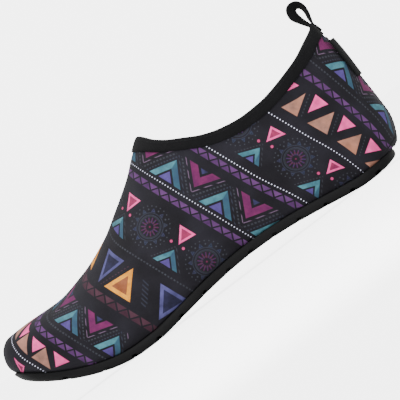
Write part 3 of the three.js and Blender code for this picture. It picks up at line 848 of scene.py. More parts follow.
def build_insole():
    share = (1 - np.cos(math.pi * np.linspace(0, 1, INSOLE_ROWS + 2)[1:-1])) / 2
    width = np.linspace(-1, 1, INSOLE_COLUMNS)
    rings = []
    for at in INSOLE_ENDS + (LENGTH - 2 * INSOLE_ENDS) * share:
        section = Section(np.array([at]))
        floor = float(sole_line(at) + SOLE_UNDER + WALL + FIT)
        level = floor + INSOLE
        halves = [max(float(section.half_at(np.array([level]), side)[0]) - WALL - FIT - INSOLE_GAP, 0.05)
                  for side in (1, -1)]
        off = width * np.where(width < 0, halves[0], halves[1])
        ridge = float(section.ridge[0])
        place = np.full(INSOLE_COLUMNS, at)
        top = np.stack([place, ridge + off, level - INSOLE_ROUND * step(np.abs(width), 0.93, 1.0)], -1)
        under = np.stack([place, ridge + off * INSOLE_UNDER, 0 * place + floor + INSOLE_OFF_FLOOR], -1)
        rings.append(np.concatenate([top, under[::-1]]))
    made = laid("insole", closed_columns(np.array(rings)))
    close_up(made, ends=True)
    shade_smooth(made, 50)
    return made


insole = build_insole()


# Heel: back seam, pull loop and tag

def heel_back(z):
    """How far back the last reaches at a height."""
    return bisected(0.9 * LENGTH, LENGTH, lambda x: float(Section(np.array([x])).top[0]) > z)


SEAM_WIDTH, SEAM_HEIGHT, SEAM_STAND, SEAM_ROUND = 2.2, 0.5, 0.8, 40
SEAM_FROM, SEAM_BELOW_TAPE = 6.9, 2.2
# The seam tape's section: shares of its half width, and of its stand
SEAM_PROFILE = [
    (-1.0, -0.5), (-1.0, 0.12), (-0.8, 0.38), (-0.35, 0.5), (-0.12, 0.4),
    (0.12, 0.4), (0.35, 0.5), (0.8, 0.38), (1.0, 0.12), (1.0, -0.5),
]
seam_levels = np.linspace(SEAM_FROM, HEEL_HEIGHT - BINDING_WIDTH - SEAM_BELOW_TAPE, 90)


def heel_profile():
    """The heel's centre line from the sole's rim to the binding, as points and outward normals."""
    tip_top = float(Section(np.array([LENGTH - 0.001])).top[0])
    line = []
    for z in seam_levels:
        x = heel_back(z)
        if tip_top > z:
            x = bisected(0.9 * LENGTH, LENGTH, lambda x: float(Section(np.array([x])).base[0]) < z)
        line.append((x, 0.0, z))
    line = np.array(line)
    tangent = np.gradient(line, axis=0)
    normal = np.stack([tangent[:, 2], 0 * tangent[:, 0], -tangent[:, 0]], -1)
    normal /= np.linalg.norm(normal, axis=1)[:, None]
    return line, normal


def build_back_seam():
    line, normal = heel_profile()
    points = []
    for p, n in zip(line, normal):
        for share, out in SEAM_PROFILE:
            off = share * SEAM_WIDTH / 2
            points.append(p + n * (out * SEAM_STAND - off ** 2 / SEAM_ROUND) + np.array([0, off, 0]))
    points = np.array(points).reshape(len(line), len(SEAM_PROFILE), 3)
    made = laid("back_seam", closed_columns(points))
    close_up(made, ends=True)
    shade_smooth(made, 50)
    return made, line, normal


back_seam, seam_line, seam_normal = build_back_seam()


BACK_STITCH_PITCH, BACK_STITCH_OFF, BACK_STITCH_OUT, BACK_STITCH_RADIUS = 2.4, 0.72, 0.36, 0.15


def back_stitches():
    run = np.concatenate([[0], np.cumsum(np.linalg.norm(np.diff(seam_line, axis=0), axis=1))])
    count = int(run[-1] / BACK_STITCH_PITCH)

    def on_seam(step_along, side):
        where = step_along / count * run[-1]
        p = np.array([np.interp(where, run, seam_line[:, k]) for k in range(3)])
        n = np.array([np.interp(where, run, seam_normal[:, k]) for k in range(3)])
        return p + n * BACK_STITCH_OUT + np.array([0, side * BACK_STITCH_OFF, 0]), n

    spots = []
    for i in range(count):
        for side in (-1, 1):
            start, out = on_seam(i + 0.15, side)
            spots.append((start, on_seam(i + 0.8, side)[0], out))
    return build_stitches("back_seam_stitches", spots, BACK_STITCH_RADIUS)


seam_stitches = back_stitches()

LOOP_HEIGHT, LOOP_DEPTH, LOOP_TAPE_WIDTH, LOOP_TAPE, LOOP_TAIL = 14.5, 6.5, 6, 1.1, 5.5
LOOP_PRESSED = 0.1
# The loop's way up and back down: shares of its depth and height, and its turn
LOOP_RISE = [(-0.04, 0.24, 0.25), (-0.16, 0.52, 0.35), (-0.1, 0.78, 0.5), (0.24, 0.94, 0.8)]
LOOP_RETURN = [(0.72, 0.92, 1.1), (0.9, 0.7, 1.05), (0.68, 0.38, 0.65), (0.26, 0.0, 0.3)]


def spline(points, count):
    """Evenly spaced places on a smooth curve through points."""
    points = np.array(points, float)
    run = np.concatenate([[0], np.cumsum(np.sqrt(np.linalg.norm(np.diff(points, axis=0), axis=1)))])
    n = len(points)
    found = []
    for t in np.linspace(0, run[-1], 40 * n):
        i = min(n - 2, max(0, bisect.bisect_right(list(run), t) - 1))
        p0 = points[i - 1] if i > 0 else 2 * points[0] - points[1]
        p1, p2 = points[i], points[i + 1]
        p3 = points[i + 2] if i + 2 < n else 2 * points[-1] - points[-2]
        t1, t2 = run[i], run[i + 1]
        t0 = t1 - math.sqrt(np.linalg.norm(p1 - p0))
        t3 = t2 + math.sqrt(np.linalg.norm(p3 - p2))
        a1 = (t1 - t) / (t1 - t0) * p0 + (t - t0) / (t1 - t0) * p1
        a2 = (t2 - t) / (t2 - t1) * p1 + (t - t1) / (t2 - t1) * p2
        a3 = (t3 - t) / (t3 - t2) * p2 + (t - t2) / (t3 - t2) * p3
        b1 = (t2 - t) / (t2 - t0) * a1 + (t - t0) / (t2 - t0) * a2
        b2 = (t3 - t) / (t3 - t1) * a2 + (t - t1) / (t3 - t1) * a3
        found.append((t2 - t) / (t2 - t1) * b1 + (t - t1) / (t2 - t1) * b2)
    found = np.array(found)
    run = np.concatenate([[0], np.cumsum(np.linalg.norm(np.diff(found, axis=0), axis=1))])
    even = np.linspace(0, run[-1], count)
    return np.stack([np.interp(even, run, found[:, k]) for k in range(3)], -1)


def build_pull_loop():
    stand = BINDING_REACH - LOOP_PRESSED + LOOP_TAPE / 2
    tail = [np.array([heel_back(z) + stand, 0, z]) for z in
            (HEEL_HEIGHT - LOOP_TAIL, HEEL_HEIGHT - LOOP_TAIL / 2, HEEL_HEIGHT)]
    neck = tail[-1]
    route = [(p, 0.0) for p in tail]
    for deep, high, twist in LOOP_RISE + LOOP_RETURN:
        route.append((neck + np.array([-deep * LOOP_DEPTH, 0, high * LOOP_HEIGHT]), twist))
    count = 120
    path = spline([p for p, _ in route], count)
    places_on_way = np.array([p for p, _ in route])
    chord_run = np.concatenate([[0], np.cumsum(np.linalg.norm(np.diff(places_on_way, axis=0), axis=1))])
    twists = smooth_through(chord_run / chord_run[-1], [t for _, t in route])(np.linspace(0, 1, count))
    tangent = np.gradient(path, axis=0)
    tangent /= np.linalg.norm(tangent, axis=1)[:, None]
    half_w, half_t = LOOP_TAPE_WIDTH / 2, LOOP_TAPE / 2
    profile = [(w, 1) for w in np.linspace(-1, 1, 13)] + [(w, -1) for w in np.linspace(1, -1, 13)]
    points, places = [], []
    run = np.concatenate([[0], np.cumsum(np.linalg.norm(np.diff(path, axis=0), axis=1))])
    for i in range(count):
        turn = Matrix.Rotation(float(twists[i]), 3, Vector(tangent[i]))
        across = np.array(turn @ Vector((0, 1, 0)))
        face = np.cross(tangent[i], across)
        for w, f in profile:
            thick = half_t * (1 - 0.55 * abs(w) ** 6)
            points.append(path[i] + across * w * half_w + face * f * thick)
            places.append((w * half_w, run[i]))
    points = np.array(points).reshape(count, len(profile), 3)
    places = np.array(places, float).reshape(count, len(profile), 2)
    made = laid("pull_loop", closed_columns(points))
    note(made, "tape", closed_columns(places).reshape(-1, 2))
    close_up(made, ends=True)
    shade_smooth(made, 50)
    return made


pull_loop = build_pull_loop()

TAG_LENGTH, TAG_TAPE, TAG_TOP_BELOW_HEEL, TAG_REACH = 24.5, 0.8, 12.3, 10
TAG_LIFT, TAG_LEAN, TAG_CURVE = 0.5, 1.1, 0.41 * HEEL_WIDTH


def build_tag():
    top = HEEL_HEIGHT - TAG_TOP_BELOW_HEEL

    def spot(z, share, thickness):
        angle = (SEAM_WIDTH / 2 + FIT + share * TAG_REACH) / TAG_CURVE
        lift = TAG_LIFT * math.sin(math.pi * share ** 0.7)
        lean = TAG_LEAN * (z - top + TAG_LENGTH) / TAG_LENGTH
        reach = TAG_CURVE + FIT + SEAM_HEIGHT / 2 + lift + thickness + lean
        return np.array([math.cos(angle) * reach + heel_back(z) - TAG_CURVE, -math.sin(angle) * reach, z])

    shares = np.linspace(0, 1, 21)
    points, places = [], []
    rows = 37
    for i in range(rows):
        z = top - TAG_LENGTH * i / (rows - 1)
        for k, share in enumerate(shares):
            points.append(spot(z, share, TAG_TAPE * (1 - 0.35 * (abs(share - 0.5) * 2) ** 8)))
            places.append((share * TAG_REACH, top - z))
        for share in reversed(shares):
            points.append(spot(z, share, 0))
            places.append((share * TAG_REACH, top - z))
    points = np.array(points).reshape(rows, 2 * len(shares), 3)
    places = np.array(places, float).reshape(rows, 2 * len(shares), 2)
    made = laid("side_tag", closed_columns(points))
    note(made, "tape", closed_columns(places).reshape(-1, 2))
    close_up(made, ends=True)
    shade_smooth(made, 40)
    return made


side_tag = build_tag()


# Materials

SCREEN = [0, 7, 18, 26, 42, 58, 76, 96, 118, 136, 153, 170, 184, 197, 207, 217, 227]
LIT = [0, 0.004, 0.01, 0.015, 0.03, 0.05, 0.08, 0.12, 0.18, 0.25, 0.35, 0.5, 0.7, 1, 1.4, 2, 3]
STUDIO_LIGHT, RICHER = 1.95, 0.96


def paint(red, green, blue):
    """The dye that looks like a colour of 0 to 255 parts on screen under this studio's light."""
    parts = np.interp((red, green, blue), SCREEN, LIT) / STUDIO_LIGHT
    grey = parts.mean()
    parts = np.clip(grey + (parts - grey) * RICHER, 0.0008, 0.92)
    return (*(float(part) for part in parts), 1)


class Value:
    """A number that varies over a surface, written in Python sums."""

    def __init__(self, shade, socket):
        self.shade, self.socket = shade, socket

    def math(self, operation, *others, clamp=False):
        return self.shade.math(operation, self, *others, clamp=clamp)

    def __add__(self, other):
        return self.math("ADD", other)

    __radd__ = __add__

    def __sub__(self, other):
        return self.math("SUBTRACT", other)

    def __rsub__(self, other):
        return self.shade.math("SUBTRACT", other, self)

    def __mul__(self, other):
        return self.math("MULTIPLY", other)

    __rmul__ = __mul__

    def __abs__(self):
        return self.math("ABSOLUTE")

    def __gt__(self, other):
        return self.math("GREATER_THAN", other)

    def __lt__(self, other):
        return self.math("LESS_THAN", other)

    def low(self, other):
        return self.math("MINIMUM", other)

    def high(self, other):
        return self.math("MAXIMUM", other)

    def wrap(self, period):
        return self.math("WRAP", period / 2, -period / 2)

    def scaled(self, times, plus):
        return self.math("MULTIPLY_ADD", times, plus)

    def stretched(self, times, plus):
        """Scaled, moved and kept between 0 and 1."""
        return self.math("MULTIPLY_ADD", times, plus, clamp=True)

    def inside(self, soft=0.22):
        """1 where this distance is above nought, with a soft edge."""
        return self.stretched(1 / soft, 0.5)


class Shade:
    """One material's nodes."""

    def __init__(self, name, **shader):
        self.material = bpy.data.materials.new(name)
        self.material.use_nodes = True
        self.tree = self.material.node_tree
        self.shader = next(n for n in self.tree.nodes if n.type == "BSDF_PRINCIPLED")
        for socket, value in shader.items():
            self.shader.inputs[socket.replace("_", " ")].default_value = value

    def node(self, kind, settings=None, inputs=None):
        made = self.tree.nodes.new(kind)
        for name, value in (settings or {}).items():
            setattr(made, name, value)
        for name, value in (inputs or {}).items():
            self.put(made.inputs[name], value)
        return made

    def put(self, socket, value):
        if isinstance(value, Value):
            value = value.socket
        if isinstance(value, bpy.types.NodeSocket):
            self.tree.links.new(value, socket)
        else:
            socket.default_value = value

    def math(self, operation, *values, clamp=False):
        made = self.node("ShaderNodeMath", {"operation": operation, "use_clamp": clamp},
                         {i: v for i, v in enumerate(values)})
        return Value(self, made.outputs[0])

    def mix(self, factor, a, b):
        made = self.node("ShaderNodeMix", {"data_type": "RGBA"}, {0: factor, 6: a, 7: b})
        return made.outputs[2]

    def places(self, attribute):
        read = self.node("ShaderNodeAttribute", {"attribute_type": "GEOMETRY", "attribute_name": attribute})
        return read.outputs["Vector"]

    def parts(self, vector):
        split = self.node("ShaderNodeSeparateXYZ", inputs={0: vector})
        return [Value(self, split.outputs[k]) for k in range(3)]

    def object_places(self):
        """Places on the piece in millimetres."""
        places = self.node("ShaderNodeTexCoord").outputs["Object"]
        return self.node("ShaderNodeVectorMath", {"operation": "SCALE"},
                         {0: places, "Scale": 1 / MM}).outputs[0]

    def noise(self, vector, scale, detail=2, roughness=0.5):
        made = self.node("ShaderNodeTexNoise", inputs={
            "Vector": vector, "Scale": scale, "Detail": detail, "Roughness": roughness})
        return Value(self, made.outputs["Fac"])

    def bump(self, height, strength, distance):
        return self.node("ShaderNodeBump", inputs={
            "Height": height, "Strength": strength, "Distance": distance}).outputs[0]

    def use(self, **links):
        for name, value in links.items():
            self.put(self.shader.inputs[name.replace("_", " ")], value)
        return self.material


# Colours of the print
GROUND, GROUND_LIGHT = paint(20, 18, 24), paint(38, 36, 46)
PINK_LIGHT, PINK = paint(212, 106, 178), paint(196, 72, 152)
ROSE, ROSE_LIGHT = paint(132, 30, 82), paint(174, 58, 110)
TAN, TAN_LIGHT, TAN_ORANGE = paint(146, 112, 98), paint(184, 146, 130), paint(178, 130, 92)
PURPLE, PURPLE_LIGHT = paint(76, 36, 94), paint(122, 68, 136)
PLUM, PLUM_LIGHT = paint(56, 26, 42), paint(92, 52, 68)
MAGENTA, MAGENTA_LIGHT = paint(104, 26, 86), paint(136, 40, 104)
TEAL_LIGHT, TEAL, TEAL_BLUE = paint(90, 154, 162), paint(54, 106, 124), paint(50, 80, 112)
VIOLET, VIOLET_LIGHT = paint(76, 56, 128), paint(102, 86, 158)
SLATE_BLUE, SLATE_LIGHT, SLATE_DARK = paint(66, 64, 116), paint(100, 98, 154), paint(26, 26, 46)
ORANGE, ORANGE_LIGHT, RUST = paint(190, 140, 26), paint(206, 174, 40), paint(144, 76, 34)
WHITE, GREY, GREY_BLUE = paint(206, 206, 212), paint(78, 82, 94), paint(66, 72, 94)
THREAD_PALE = paint(140, 112, 142)


# The print's chart in millimetres: where each band starts along the foot, how far on the next of its kind
# lies, and how often its motifs repeat across the foot
CHEVRON_BAND, CHEVRON_NEXT, CHEVRON_THIRD, CHEVRON_REPEAT = 46.3, 94.2, 95.2, 32
ROSETTE_BAND, ROSETTE_NEXT, ROSETTE_REPEAT = 102.2, 70.4, 36
HEEL_BAND, HEEL_REPEAT, TOE_BAND, TOE_REPEAT = 205.7, 18.6, 23.4, 15.2
BALL_BAND, BALL_DOWN_REPEAT, BALL_UP_REPEAT = 76, 40, 34
# Rows of small zigzags: centre, dark, light, half height, pitch
ZIGZAG_ROWS = [
    (37.8, PURPLE, PURPLE_LIGHT, 1.6, 6.2),
    (70.4, PLUM, PLUM_LIGHT, 2.0, 7.6),
    (133.8, PURPLE, PURPLE_LIGHT, 1.75, 6.6),
    (163.4, PURPLE, PURPLE_LIGHT, 1.75, 6.6),
    (225.3, PURPLE, PURPLE_LIGHT, 1.6, 6.6),
]
DOT_ROWS = [(20.6, 1.0), (138.6, 0.8), (167.4, 1.0), (199.8, 1.0)]
DASH_ROWS = [43.6, 98.2, 232.2]


def edge(u, v, p, q):
    """Distance to the left of a line from p to q."""
    length = math.hypot(q[0] - p[0], q[1] - p[1])
    nx, ny = -(q[1] - p[1]) / length, (q[0] - p[0]) / length
    return v.scaled(ny, u.scaled(nx, -(nx * p[0] + ny * p[1])))


def triangle(u, v, p, q, r):
    return edge(u, v, p, q).low(edge(u, v, q, r)).low(edge(u, v, r, p))


def away(u, v):
    return (u * u + v * v).math("SQRT")


class BorderPrint:
    """The cloth's print, laid band by band, with a across the foot and b along it."""

    def __init__(self, cloth):
        self.cloth = cloth
        spot = cloth.places("print")
        self.a, self.b, _ = cloth.parts(spot)
        self.wash = cloth.noise(spot, 0.16, 3, 0.6).stretched(2.6, -0.8)
        self.patch = cloth.noise(spot, 0.045, 2, 0.5).stretched(3.2, -1.2)
        self.speck = cloth.noise(spot, 0.9, 2, 0.7)
        self.colour = cloth.mix(self.patch * 0.75 + self.speck * 0.2, GROUND, GROUND_LIGHT)

    def lay(self, mask, colour):
        self.colour = self.cloth.mix(mask, self.colour, colour)

    def toned(self, dark, light, amount=None):
        return self.cloth.mix(self.wash if amount is None else amount, dark, light)

    def teal_arms(self, u):
        """Teal, lighter on one arm than on the other."""
        return self.cloth.mix(u.inside(0.8), self.toned(TEAL, TEAL_LIGHT), self.toned(TEAL_BLUE, TEAL))

    def zigzag(self, centre, dark, light, half, pitch):
        """A row of small triangles that point up and down in turn."""
        v = self.b - centre
        line = abs(self.a.wrap(pitch)).scaled(4 * half / pitch, -half)
        body = (half - abs(v)).inside(0.3)
        gap = (abs(v - line) - 0.62).inside(0.25)
        tone = self.cloth.mix((v > line) * 0.35 + self.wash * 0.65, dark, light)
        self.lay(body * gap * 0.92, tone)

    def dots(self, centre, strength, pitch=1.74, size=0.32):
        far = away(self.a.wrap(pitch), self.b - centre)
        self.lay((size - far).inside(0.25) * strength, WHITE)

    def dashes(self, centre, pitch=1.9, length=1.1, half=0.42, strength=0.7):
        box = (length / 2 - abs(self.a.wrap(pitch))).low(half - abs(self.b - centre))
        self.lay(box.inside(0.25) * self.speck.stretched(2.4, -0.5) * strength, GREY)

    def chevron_bands(self):
        """Three bands of chevrons, teal ones that point along the foot and magenta ones between them."""
        a, b, lay, toned = self.a, self.b, self.lay, self.toned
        second, third = b > 90, b > 190
        base = CHEVRON_BAND + second * CHEVRON_NEXT + third * CHEVRON_THIRD
        v = (b - base) * (1.08 - second * 0.08)
        shift = -20.0 + second * 4.6 + third * 52.4
        closer = 1.17 - second * 0.17
        u = ((a - shift) * closer).wrap(CHEVRON_REPEAT)
        band = (v + 0.6).inside(0.3) * (17.2 - v).inside(0.3)
        left, right_edge = edge(u, v, (0, 12.6), (-10.2, 0)), edge(u, v, (10.2, 0), (0, 12.6))
        depth = left.low(right_edge)
        arm = depth.low(3.3 - depth).low(v)
        lay(arm.inside(), self.teal_arms(u))
        lay((depth - 4.5).low(v - 0.3).inside(), toned(VIOLET, VIOLET_LIGHT))
        ticks = (v + u * 0.5).wrap(1.9)
        lay((0.34 - abs(depth + 1.5)).low(0.5 - abs(ticks)).inside(0.3) * band * 0.55, GREY_BLUE)
        w = ((a - shift) * closer + 16.2).wrap(CHEVRON_REPEAT)
        v_left, v_right = edge(w, v, (0, 5.0), (9.6, 16.2)), edge(w, v, (-9.6, 16.2), (0, 5.0))
        v_depth = v_left.low(v_right)
        shown = (12.2 - a).high(second * 40 - 20)
        inner = v_depth.low(shown)
        lay(inner.low(3.9 - v_depth).low(16.2 - v).inside(), toned(MAGENTA, MAGENTA_LIGHT))
        lay((inner - 5.2).low(15.6 - v).inside(), toned(SLATE_DARK, SLATE_BLUE))
        stitch = (v - abs(w) * 0.5).wrap(3.1)
        stitches = (0.2 - abs(v_depth + 1.9)).low(0.9 - abs(stitch)).low(16.4 - v).low(shown)
        lay(stitches.inside(0.3) * 0.8, THREAD_PALE)
        small = (v + abs(w) * 0.5).wrap(2.1)
        marks = (0.42 - abs(v_depth + 3.9)).low(0.6 - abs(small)).low(15.5 - v).low(v).low(shown)
        lay(marks.inside(0.35) * 0.5, GREY)

    def rosette_bands(self):
        """Two bands of arrows and small triangles in pairs, with a rosette between the pairs."""
        a, b, lay, toned = self.a, self.b, self.lay, self.toned
        second = b > 150
        base = ROSETTE_BAND + second * ROSETTE_NEXT
        v = b - base
        phase = 8.6 + second * 12.2
        u = (a - phase).wrap(ROSETTE_REPEAT)
        tip = triangle(u, v, (0.6, 13.2), (5.6, 22.5), (-4.4, 22.5))
        leaning = triangle(u, v, (0, 13.2), (6.6, 22.2), (-2.4, 21.7))
        tip = tip + (leaning - tip) * second
        lay(tip.inside(), toned(PINK, PINK_LIGHT))
        lay((tip - 1.1).inside(), toned(ROSE, ROSE_LIGHT))
        rise = v - 12.7 + second * (u < 0) * 1.1
        blob = away(abs(u) - 3.8, rise)
        lay((0.8 - blob).inside(0.3), toned(ROSE_LIGHT, PINK))
        left, right_edge = edge(u, v, (0, 9.6), (-7.6, 0)), edge(u, v, (7.6, 0), (0, 9.6))
        leaning = edge(u, v, (-1.4, 8.9), (-10.4, -0.6)).low(edge(u, v, (3.2, 0.2), (-1.4, 8.9)))
        depth = left.low(right_edge)
        depth = depth + (leaning - depth) * second
        lay(depth.low(2.4 - depth).low(v).inside(), self.teal_arms(u))
        lay((depth - 3.3).low(v - 0.2).inside(), toned(VIOLET, VIOLET_LIGHT))
        ticks = (v + u * 0.5).wrap(1.8)
        lay((0.28 - abs(depth + 1.3)).low(0.45 - abs(ticks)).low(v).inside(0.3) * 0.4, GREY)
        self.rosettes((a - phase + ROSETTE_REPEAT / 2).wrap(ROSETTE_REPEAT), v - 13.2)

    def rosettes(self, x, y):
        """Petals, thin rings, beads and spokes round a point."""
        patch, speck, lay, toned = self.patch, self.speck, self.lay, self.toned
        radius = away(x, y)
        angle = y.math("ARCTAN2", x)
        ring_tone = self.cloth.mix(patch * 0.5, toned(GREY_BLUE, SLATE_BLUE), TEAL_BLUE)
        fan = abs(angle.scaled(10 / math.tau, 0).wrap(1)) * 8.5
        petal = (10.1 - radius - fan).low(radius - 8.0)
        lay(petal.inside(0.35) * (speck * 0.9 + 0.1) * 0.9, ring_tone)
        lay((petal - 0.7).inside(0.3) * 0.7, GROUND)
        lay((0.2 - abs(radius - 7.5)).inside(0.3) * (speck * 0.8 + 0.1), GREY_BLUE)
        lay((0.22 - abs(radius - 6.3)).inside(0.25) * (speck * 0.8 + 0.1), GREY_BLUE)
        lay((0.2 - abs(radius - 5.7)).inside(0.3) * (0.8 - speck * 0.7) * 0.7, GREY)
        bead = angle.scaled(10 / math.tau, 0.5).wrap(1) * radius * 0.62
        far = away(bead, radius - 9.4)
        lay((0.45 - far).inside(0.3) * 0.6, GREY)
        outer_bead = angle.scaled(28 / math.tau, 0).wrap(1) * radius * (math.tau / 28)
        far = away(outer_bead, radius - 11.2)
        lay((0.34 - far).inside(0.3) * 0.6, GREY)
        spokes = angle.scaled(14 / math.tau, 0).wrap(1)
        spoke = (0.36 - abs(spokes) * radius * (math.tau / 14)).low(radius - 2.1).low(5.1 - radius)
        lay(spoke.inside(0.25) * 0.5, self.cloth.mix(speck.stretched(5, -2), ROSE, VIOLET))
        lay((0.25 - abs(radius - 2.9)).inside(0.3) * 0.4, PLUM_LIGHT)
        lay((0.5 - radius).inside(0.3) * 0.75, ROSE)

    def heel_triangles(self):
        """Tan and pink triangles in turn, leaning back."""
        a, b, patch, lay, toned = self.a, self.b, self.patch, self.lay, self.toned
        v = b - HEEL_BAND
        u = (a - 23.0).wrap(HEEL_REPEAT)
        brown = triangle(u, v, (-4.9, 0), (4.7, 0.2), (2.2, 12.4))
        wide = triangle(u, v, (-7.4, 0), (4.7, 0.2), (1.8, 12.6))
        brown = brown + (wide - brown) * (a > 30)
        lay(brown.inside(0.3), self.cloth.mix(patch * 0.6, toned(TAN, TAN_LIGHT), TAN_ORANGE))
        w = (u - 11.4).wrap(HEEL_REPEAT)
        pink = triangle(w, v, (-2.8, 4.9), (4.2, 14.0), (-4.2, 14.4))
        lay(pink.inside(0.3), toned(PINK, PINK_LIGHT))
        lean = u - v * -0.2 - 7.0
        beads = v.wrap(1.8)
        lay((0.3 - abs(lean)).low(0.4 - abs(beads)).low(v - 1).low(13.5 - v).inside(0.3) * 0.45, GREY)

    def toe_triangles(self):
        """Tan and pink triangles in turn, leaning forward."""
        a, b, lay, toned = self.a, self.b, self.lay, self.toned
        v = b - TOE_BAND
        u = (a + 20.5).wrap(TOE_REPEAT)
        brown = triangle(u, v, (-6.3, 0.2), (6.0, 0), (-2.4, 8.6)).low(-11.6 - a)
        lay(brown.inside(0.3), toned(TAN, TAN_LIGHT))
        w = (u - 7.4).wrap(TOE_REPEAT)
        pink = triangle(w, v, (0.4, 2.6), (5.0, 9.0), (-5.0, 9.4)).low(-6 - a)
        lay(pink.inside(0.3), toned(PINK, PINK_LIGHT))

    def ball_triangles(self):
        """Big blue and orange triangles over the ball of the foot."""
        a, b, wash, lay, toned = self.a, self.b, self.wash, self.lay, self.toned
        v = b - BALL_BAND
        u = (a - 21).wrap(BALL_DOWN_REPEAT) * (1 + 0.36 * (a < 3))
        down = triangle(u, v, (0, 0), (9.4, 17.0), (-9.4, 17.0))
        lay(down.inside(), toned(SLATE_BLUE, SLATE_LIGHT))
        lay((down - 1.9).inside(), toned(SLATE_DARK, SLATE_BLUE, wash * 0.45))
        w = (a + 5.6).wrap(BALL_UP_REPEAT)
        rise = triangle(w, v, (-8.6, 0), (8.6, 0), (0.2, 16.2)).low(12 - a)
        lay(rise.inside(), toned(ORANGE, ORANGE_LIGHT))
        lay((rise - 2.2).inside(), toned(RUST, TAN_ORANGE, wash * 0.5))
        far_edge = edge(w, v, (8.6, 0), (0.2, 16.2))
        hatch = (1.7 - abs(far_edge + 7.6)).low(v - 1.5).low(14.5 - v).low(a + 8)
        lines = (v + w * 0.2).wrap(1.9)
        lay(hatch.low(0.36 - abs(lines)).inside(0.3) * 0.4, GREY_BLUE)
        near_edge = edge(w, v, (0.2, 16.2), (-8.6, 0))
        ticks = (0.26 - abs(near_edge + 2.2)).low(0.4 - abs(v.wrap(1.7))).low(v).low(16 - v).low(8 - a)
        lay(ticks.inside(0.25) * 0.6, PLUM_LIGHT)

    def toe_cap_triangle(self):
        """One triangle by itself on the toe cap."""
        a, b, lay, toned = self.a, self.b, self.lay, self.toned
        lone = triangle(a, b, (-37.0, 17.4), (-26.8, 12.5), (-28.0, 17.5))
        lay(lone.inside(), toned(PINK, PINK_LIGHT))
        lay((lone - 0.9).inside(), toned(ROSE, ROSE_LIGHT))

    def rows(self):
        """The narrow rows between the bands."""
        for row in ZIGZAG_ROWS:
            self.zigzag(*row)
        for centre, strength in DOT_ROWS:
            self.dots(centre, strength)
        for centre in DASH_ROWS:
            self.dashes(centre)

    def knit(self):
        """The relief of the fine knit."""
        ribs_a = ((self.a + self.b * 0.5) * (math.tau / 0.55)).math("SINE")
        ribs_b = ((self.b - self.a * 0.5) * (math.tau / 0.75)).math("SINE")
        return self.cloth.bump(ribs_a * ribs_b * 0.5 + self.speck * 0.6, 0.25, 0.00008)


def printed_cloth():
    cloth = Shade("printed_cloth", Roughness=0.8, Specular_IOR_Level=0.1, Sheen_Weight=0.02,
                  Sheen_Roughness=0.5)
    border = BorderPrint(cloth)
    border.chevron_bands()
    border.rosette_bands()
    border.heel_triangles()
    border.toe_triangles()
    border.ball_triangles()
    border.toe_cap_triangle()
    border.rows()
    return cloth.use(Base_Color=border.colour, Roughness=border.wash.scaled(0.08, 0.74), Normal=border.knit())


def black_knit(name, colour, light, attribute=None, pitch=(0.9, 0.6), depth=0.00012, **shader):
    """Plain dyed cloth with a woven or knitted relief."""
    cloth = Shade(name, **{"Roughness": 0.85, "Specular_IOR_Level": 0.08, "Sheen_Weight": 0.02, **shader})
    if attribute:
        spot = cloth.places(attribute)
        u, v, _ = cloth.parts(spot)
    else:
        spot = cloth.object_places()
        u, v, other = cloth.parts(spot)
        v = v + other
    rows = (u * (math.tau / pitch[0])).math("SINE")
    ribs = (v * (math.tau / pitch[1])).math("SINE")
    speck = cloth.noise(spot, 0.8, 3, 0.6)
    patch = cloth.noise(spot, 0.09, 2, 0.5)
    relief = rows * ribs * 0.6 + speck * 0.5
    colour = cloth.mix((patch * 0.6 + speck * 0.4).stretched(1.8, -0.45), colour, light)
    rough = speck.scaled(0.12, 0.76)
    return cloth.use(Base_Color=colour, Roughness=rough, Normal=cloth.bump(relief, 0.5, depth))


def black_rubber():
    rubber = Shade("sole_rubber", Roughness=0.6, Specular_IOR_Level=0.12)
    spot = rubber.object_places()
    grain = rubber.noise(spot, 1.6, 3, 0.6)
    cloud = rubber.noise(spot, 0.05, 3, 0.55)
    colour = rubber.mix(cloud.stretched(2.0, -0.5), paint(7, 7, 8), paint(16, 16, 17))
    rough = cloud.scaled(0.16, 0.5) + grain * 0.06
    return rubber.use(Base_Color=colour, Roughness=rough, Normal=rubber.bump(grain, 0.35, 0.00015))


cloth_print = printed_cloth()
lining = black_knit("lining_knit", paint(18, 18, 20), paint(34, 34, 38), pitch=(1.1, 0.8))
elastic = black_knit("elastic_tape", paint(8, 8, 9), paint(17, 17, 19), "tape",
                     pitch=(1.0, 0.45), depth=0.0001)
ribbon = black_knit("loop_ribbon", paint(8, 8, 9), paint(18, 18, 20), "tape", pitch=(0.7, 0.5))
tag_cloth = black_knit("tag_weave", paint(8, 9, 9), paint(20, 22, 22), "tape", pitch=(0.5, 0.5), depth=0.0001)
foam_top = black_knit("insole_cloth", paint(22, 22, 24), paint(42, 42, 46), pitch=(1.4, 1.2), depth=0.0002)
thread = black_knit("thread", paint(20, 20, 22), paint(44, 44, 48), pitch=(0.3, 0.3), depth=0.00004)
rubber = black_rubber()

finish(upper, "printed_fabric", [cloth_print, lining], "upper")
finish(binding, "elastic_binding", elastic, "collar_binding")
finish(collar_stitches, "elastic_binding", thread)
finish(outsole, "rubber_sole", rubber, "outsole")
finish(insole, "insole_foam", foam_top, "insole")
finish(back_seam, "printed_fabric", elastic)
finish(seam_stitches, "printed_fabric", thread)
finish(pull_loop, "loop_tape", ribbon, "pull_loop")
finish(side_tag, "tag_cloth", tag_cloth, "side_tag")


# Floor and lights

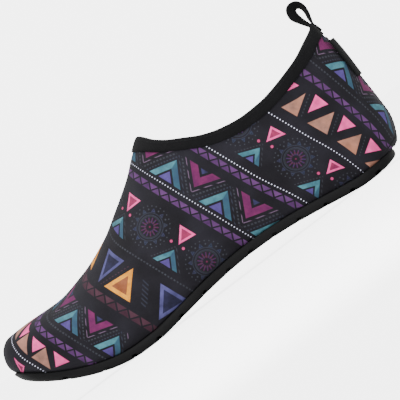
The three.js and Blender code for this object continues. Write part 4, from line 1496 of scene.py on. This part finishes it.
bare()
FLOOR_RADIUS, FLOOR_GLOW, FLOOR_GLOW_SHARE = 8, 11.6, 0.35
bpy.ops.mesh.primitive_circle_add(vertices=96, radius=FLOOR_RADIUS, fill_type="NGON")
floor = bpy.context.active_object
floor.name = "floor"
floor_paint = Shade("floor_paint", Roughness=0.9, Specular_IOR_Level=0.1)
floor_paint.shader.inputs["Base Color"].default_value = (0.8, 0.8, 0.8, 1)
# The camera sees the floor paler than it lights the shoe
pale = floor_paint.node("ShaderNodeEmission", inputs={"Color": (1, 1, 1, 1), "Strength": FLOOR_GLOW})
floor_ray = floor_paint.node("ShaderNodeLightPath")
by_camera = floor_paint.math("MULTIPLY", floor_ray.outputs["Is Camera Ray"], FLOOR_GLOW_SHARE)
both = floor_paint.node("ShaderNodeMixShader")
tree = floor_paint.material.node_tree
tree.links.new(by_camera.socket, both.inputs[0])
tree.links.new(floor_paint.shader.outputs[0], both.inputs[1])
tree.links.new(pale.outputs[0], both.inputs[2])
tree.links.new(both.outputs[0], tree.nodes["Material Output"].inputs["Surface"])
floor.data.materials.append(floor_paint.material)


def area_light(name, place, size, power, aim=(0, 0, 0.04)):
    data = bpy.data.lights.new(name, "AREA")
    data.shape = "DISK"
    data.size = size
    data.energy = power
    lamp = bpy.data.objects.new(name, data)
    bpy.context.scene.collection.objects.link(lamp)
    lamp.location = place
    way = Vector(aim) - Vector(place)
    lamp.rotation_euler = way.to_track_quat("-Z", "Y").to_euler()
    lamp.visible_camera = False


area_light("key", (-0.1, -1.5, 0.75), 1.1, 30)
overhead = bpy.data.lights.new("top", "SUN")
overhead.energy = 3.9
overhead.angle = math.radians(70)
bpy.context.scene.collection.objects.link(bpy.data.objects.new("top", overhead))
area_light("back", (0.5, 1.5, 0.5), 1.1, 7)

world = bpy.data.worlds.new("studio")
bpy.context.scene.world = world
world.use_nodes = True
SOFT_LIGHT, PALE_BACKDROP = 0.65, 5.3
glow = world.node_tree.nodes["Background"]
glow.inputs["Color"].default_value = (1, 1, 1, 1)
world_ray = world.node_tree.nodes.new("ShaderNodeLightPath")
level = world.node_tree.nodes.new("ShaderNodeMapRange")
level.inputs["To Min"].default_value = SOFT_LIGHT
level.inputs["To Max"].default_value = PALE_BACKDROP
world.node_tree.links.new(world_ray.outputs["Is Camera Ray"], level.inputs["Value"])
world.node_tree.links.new(level.outputs["Result"], glow.inputs["Strength"])
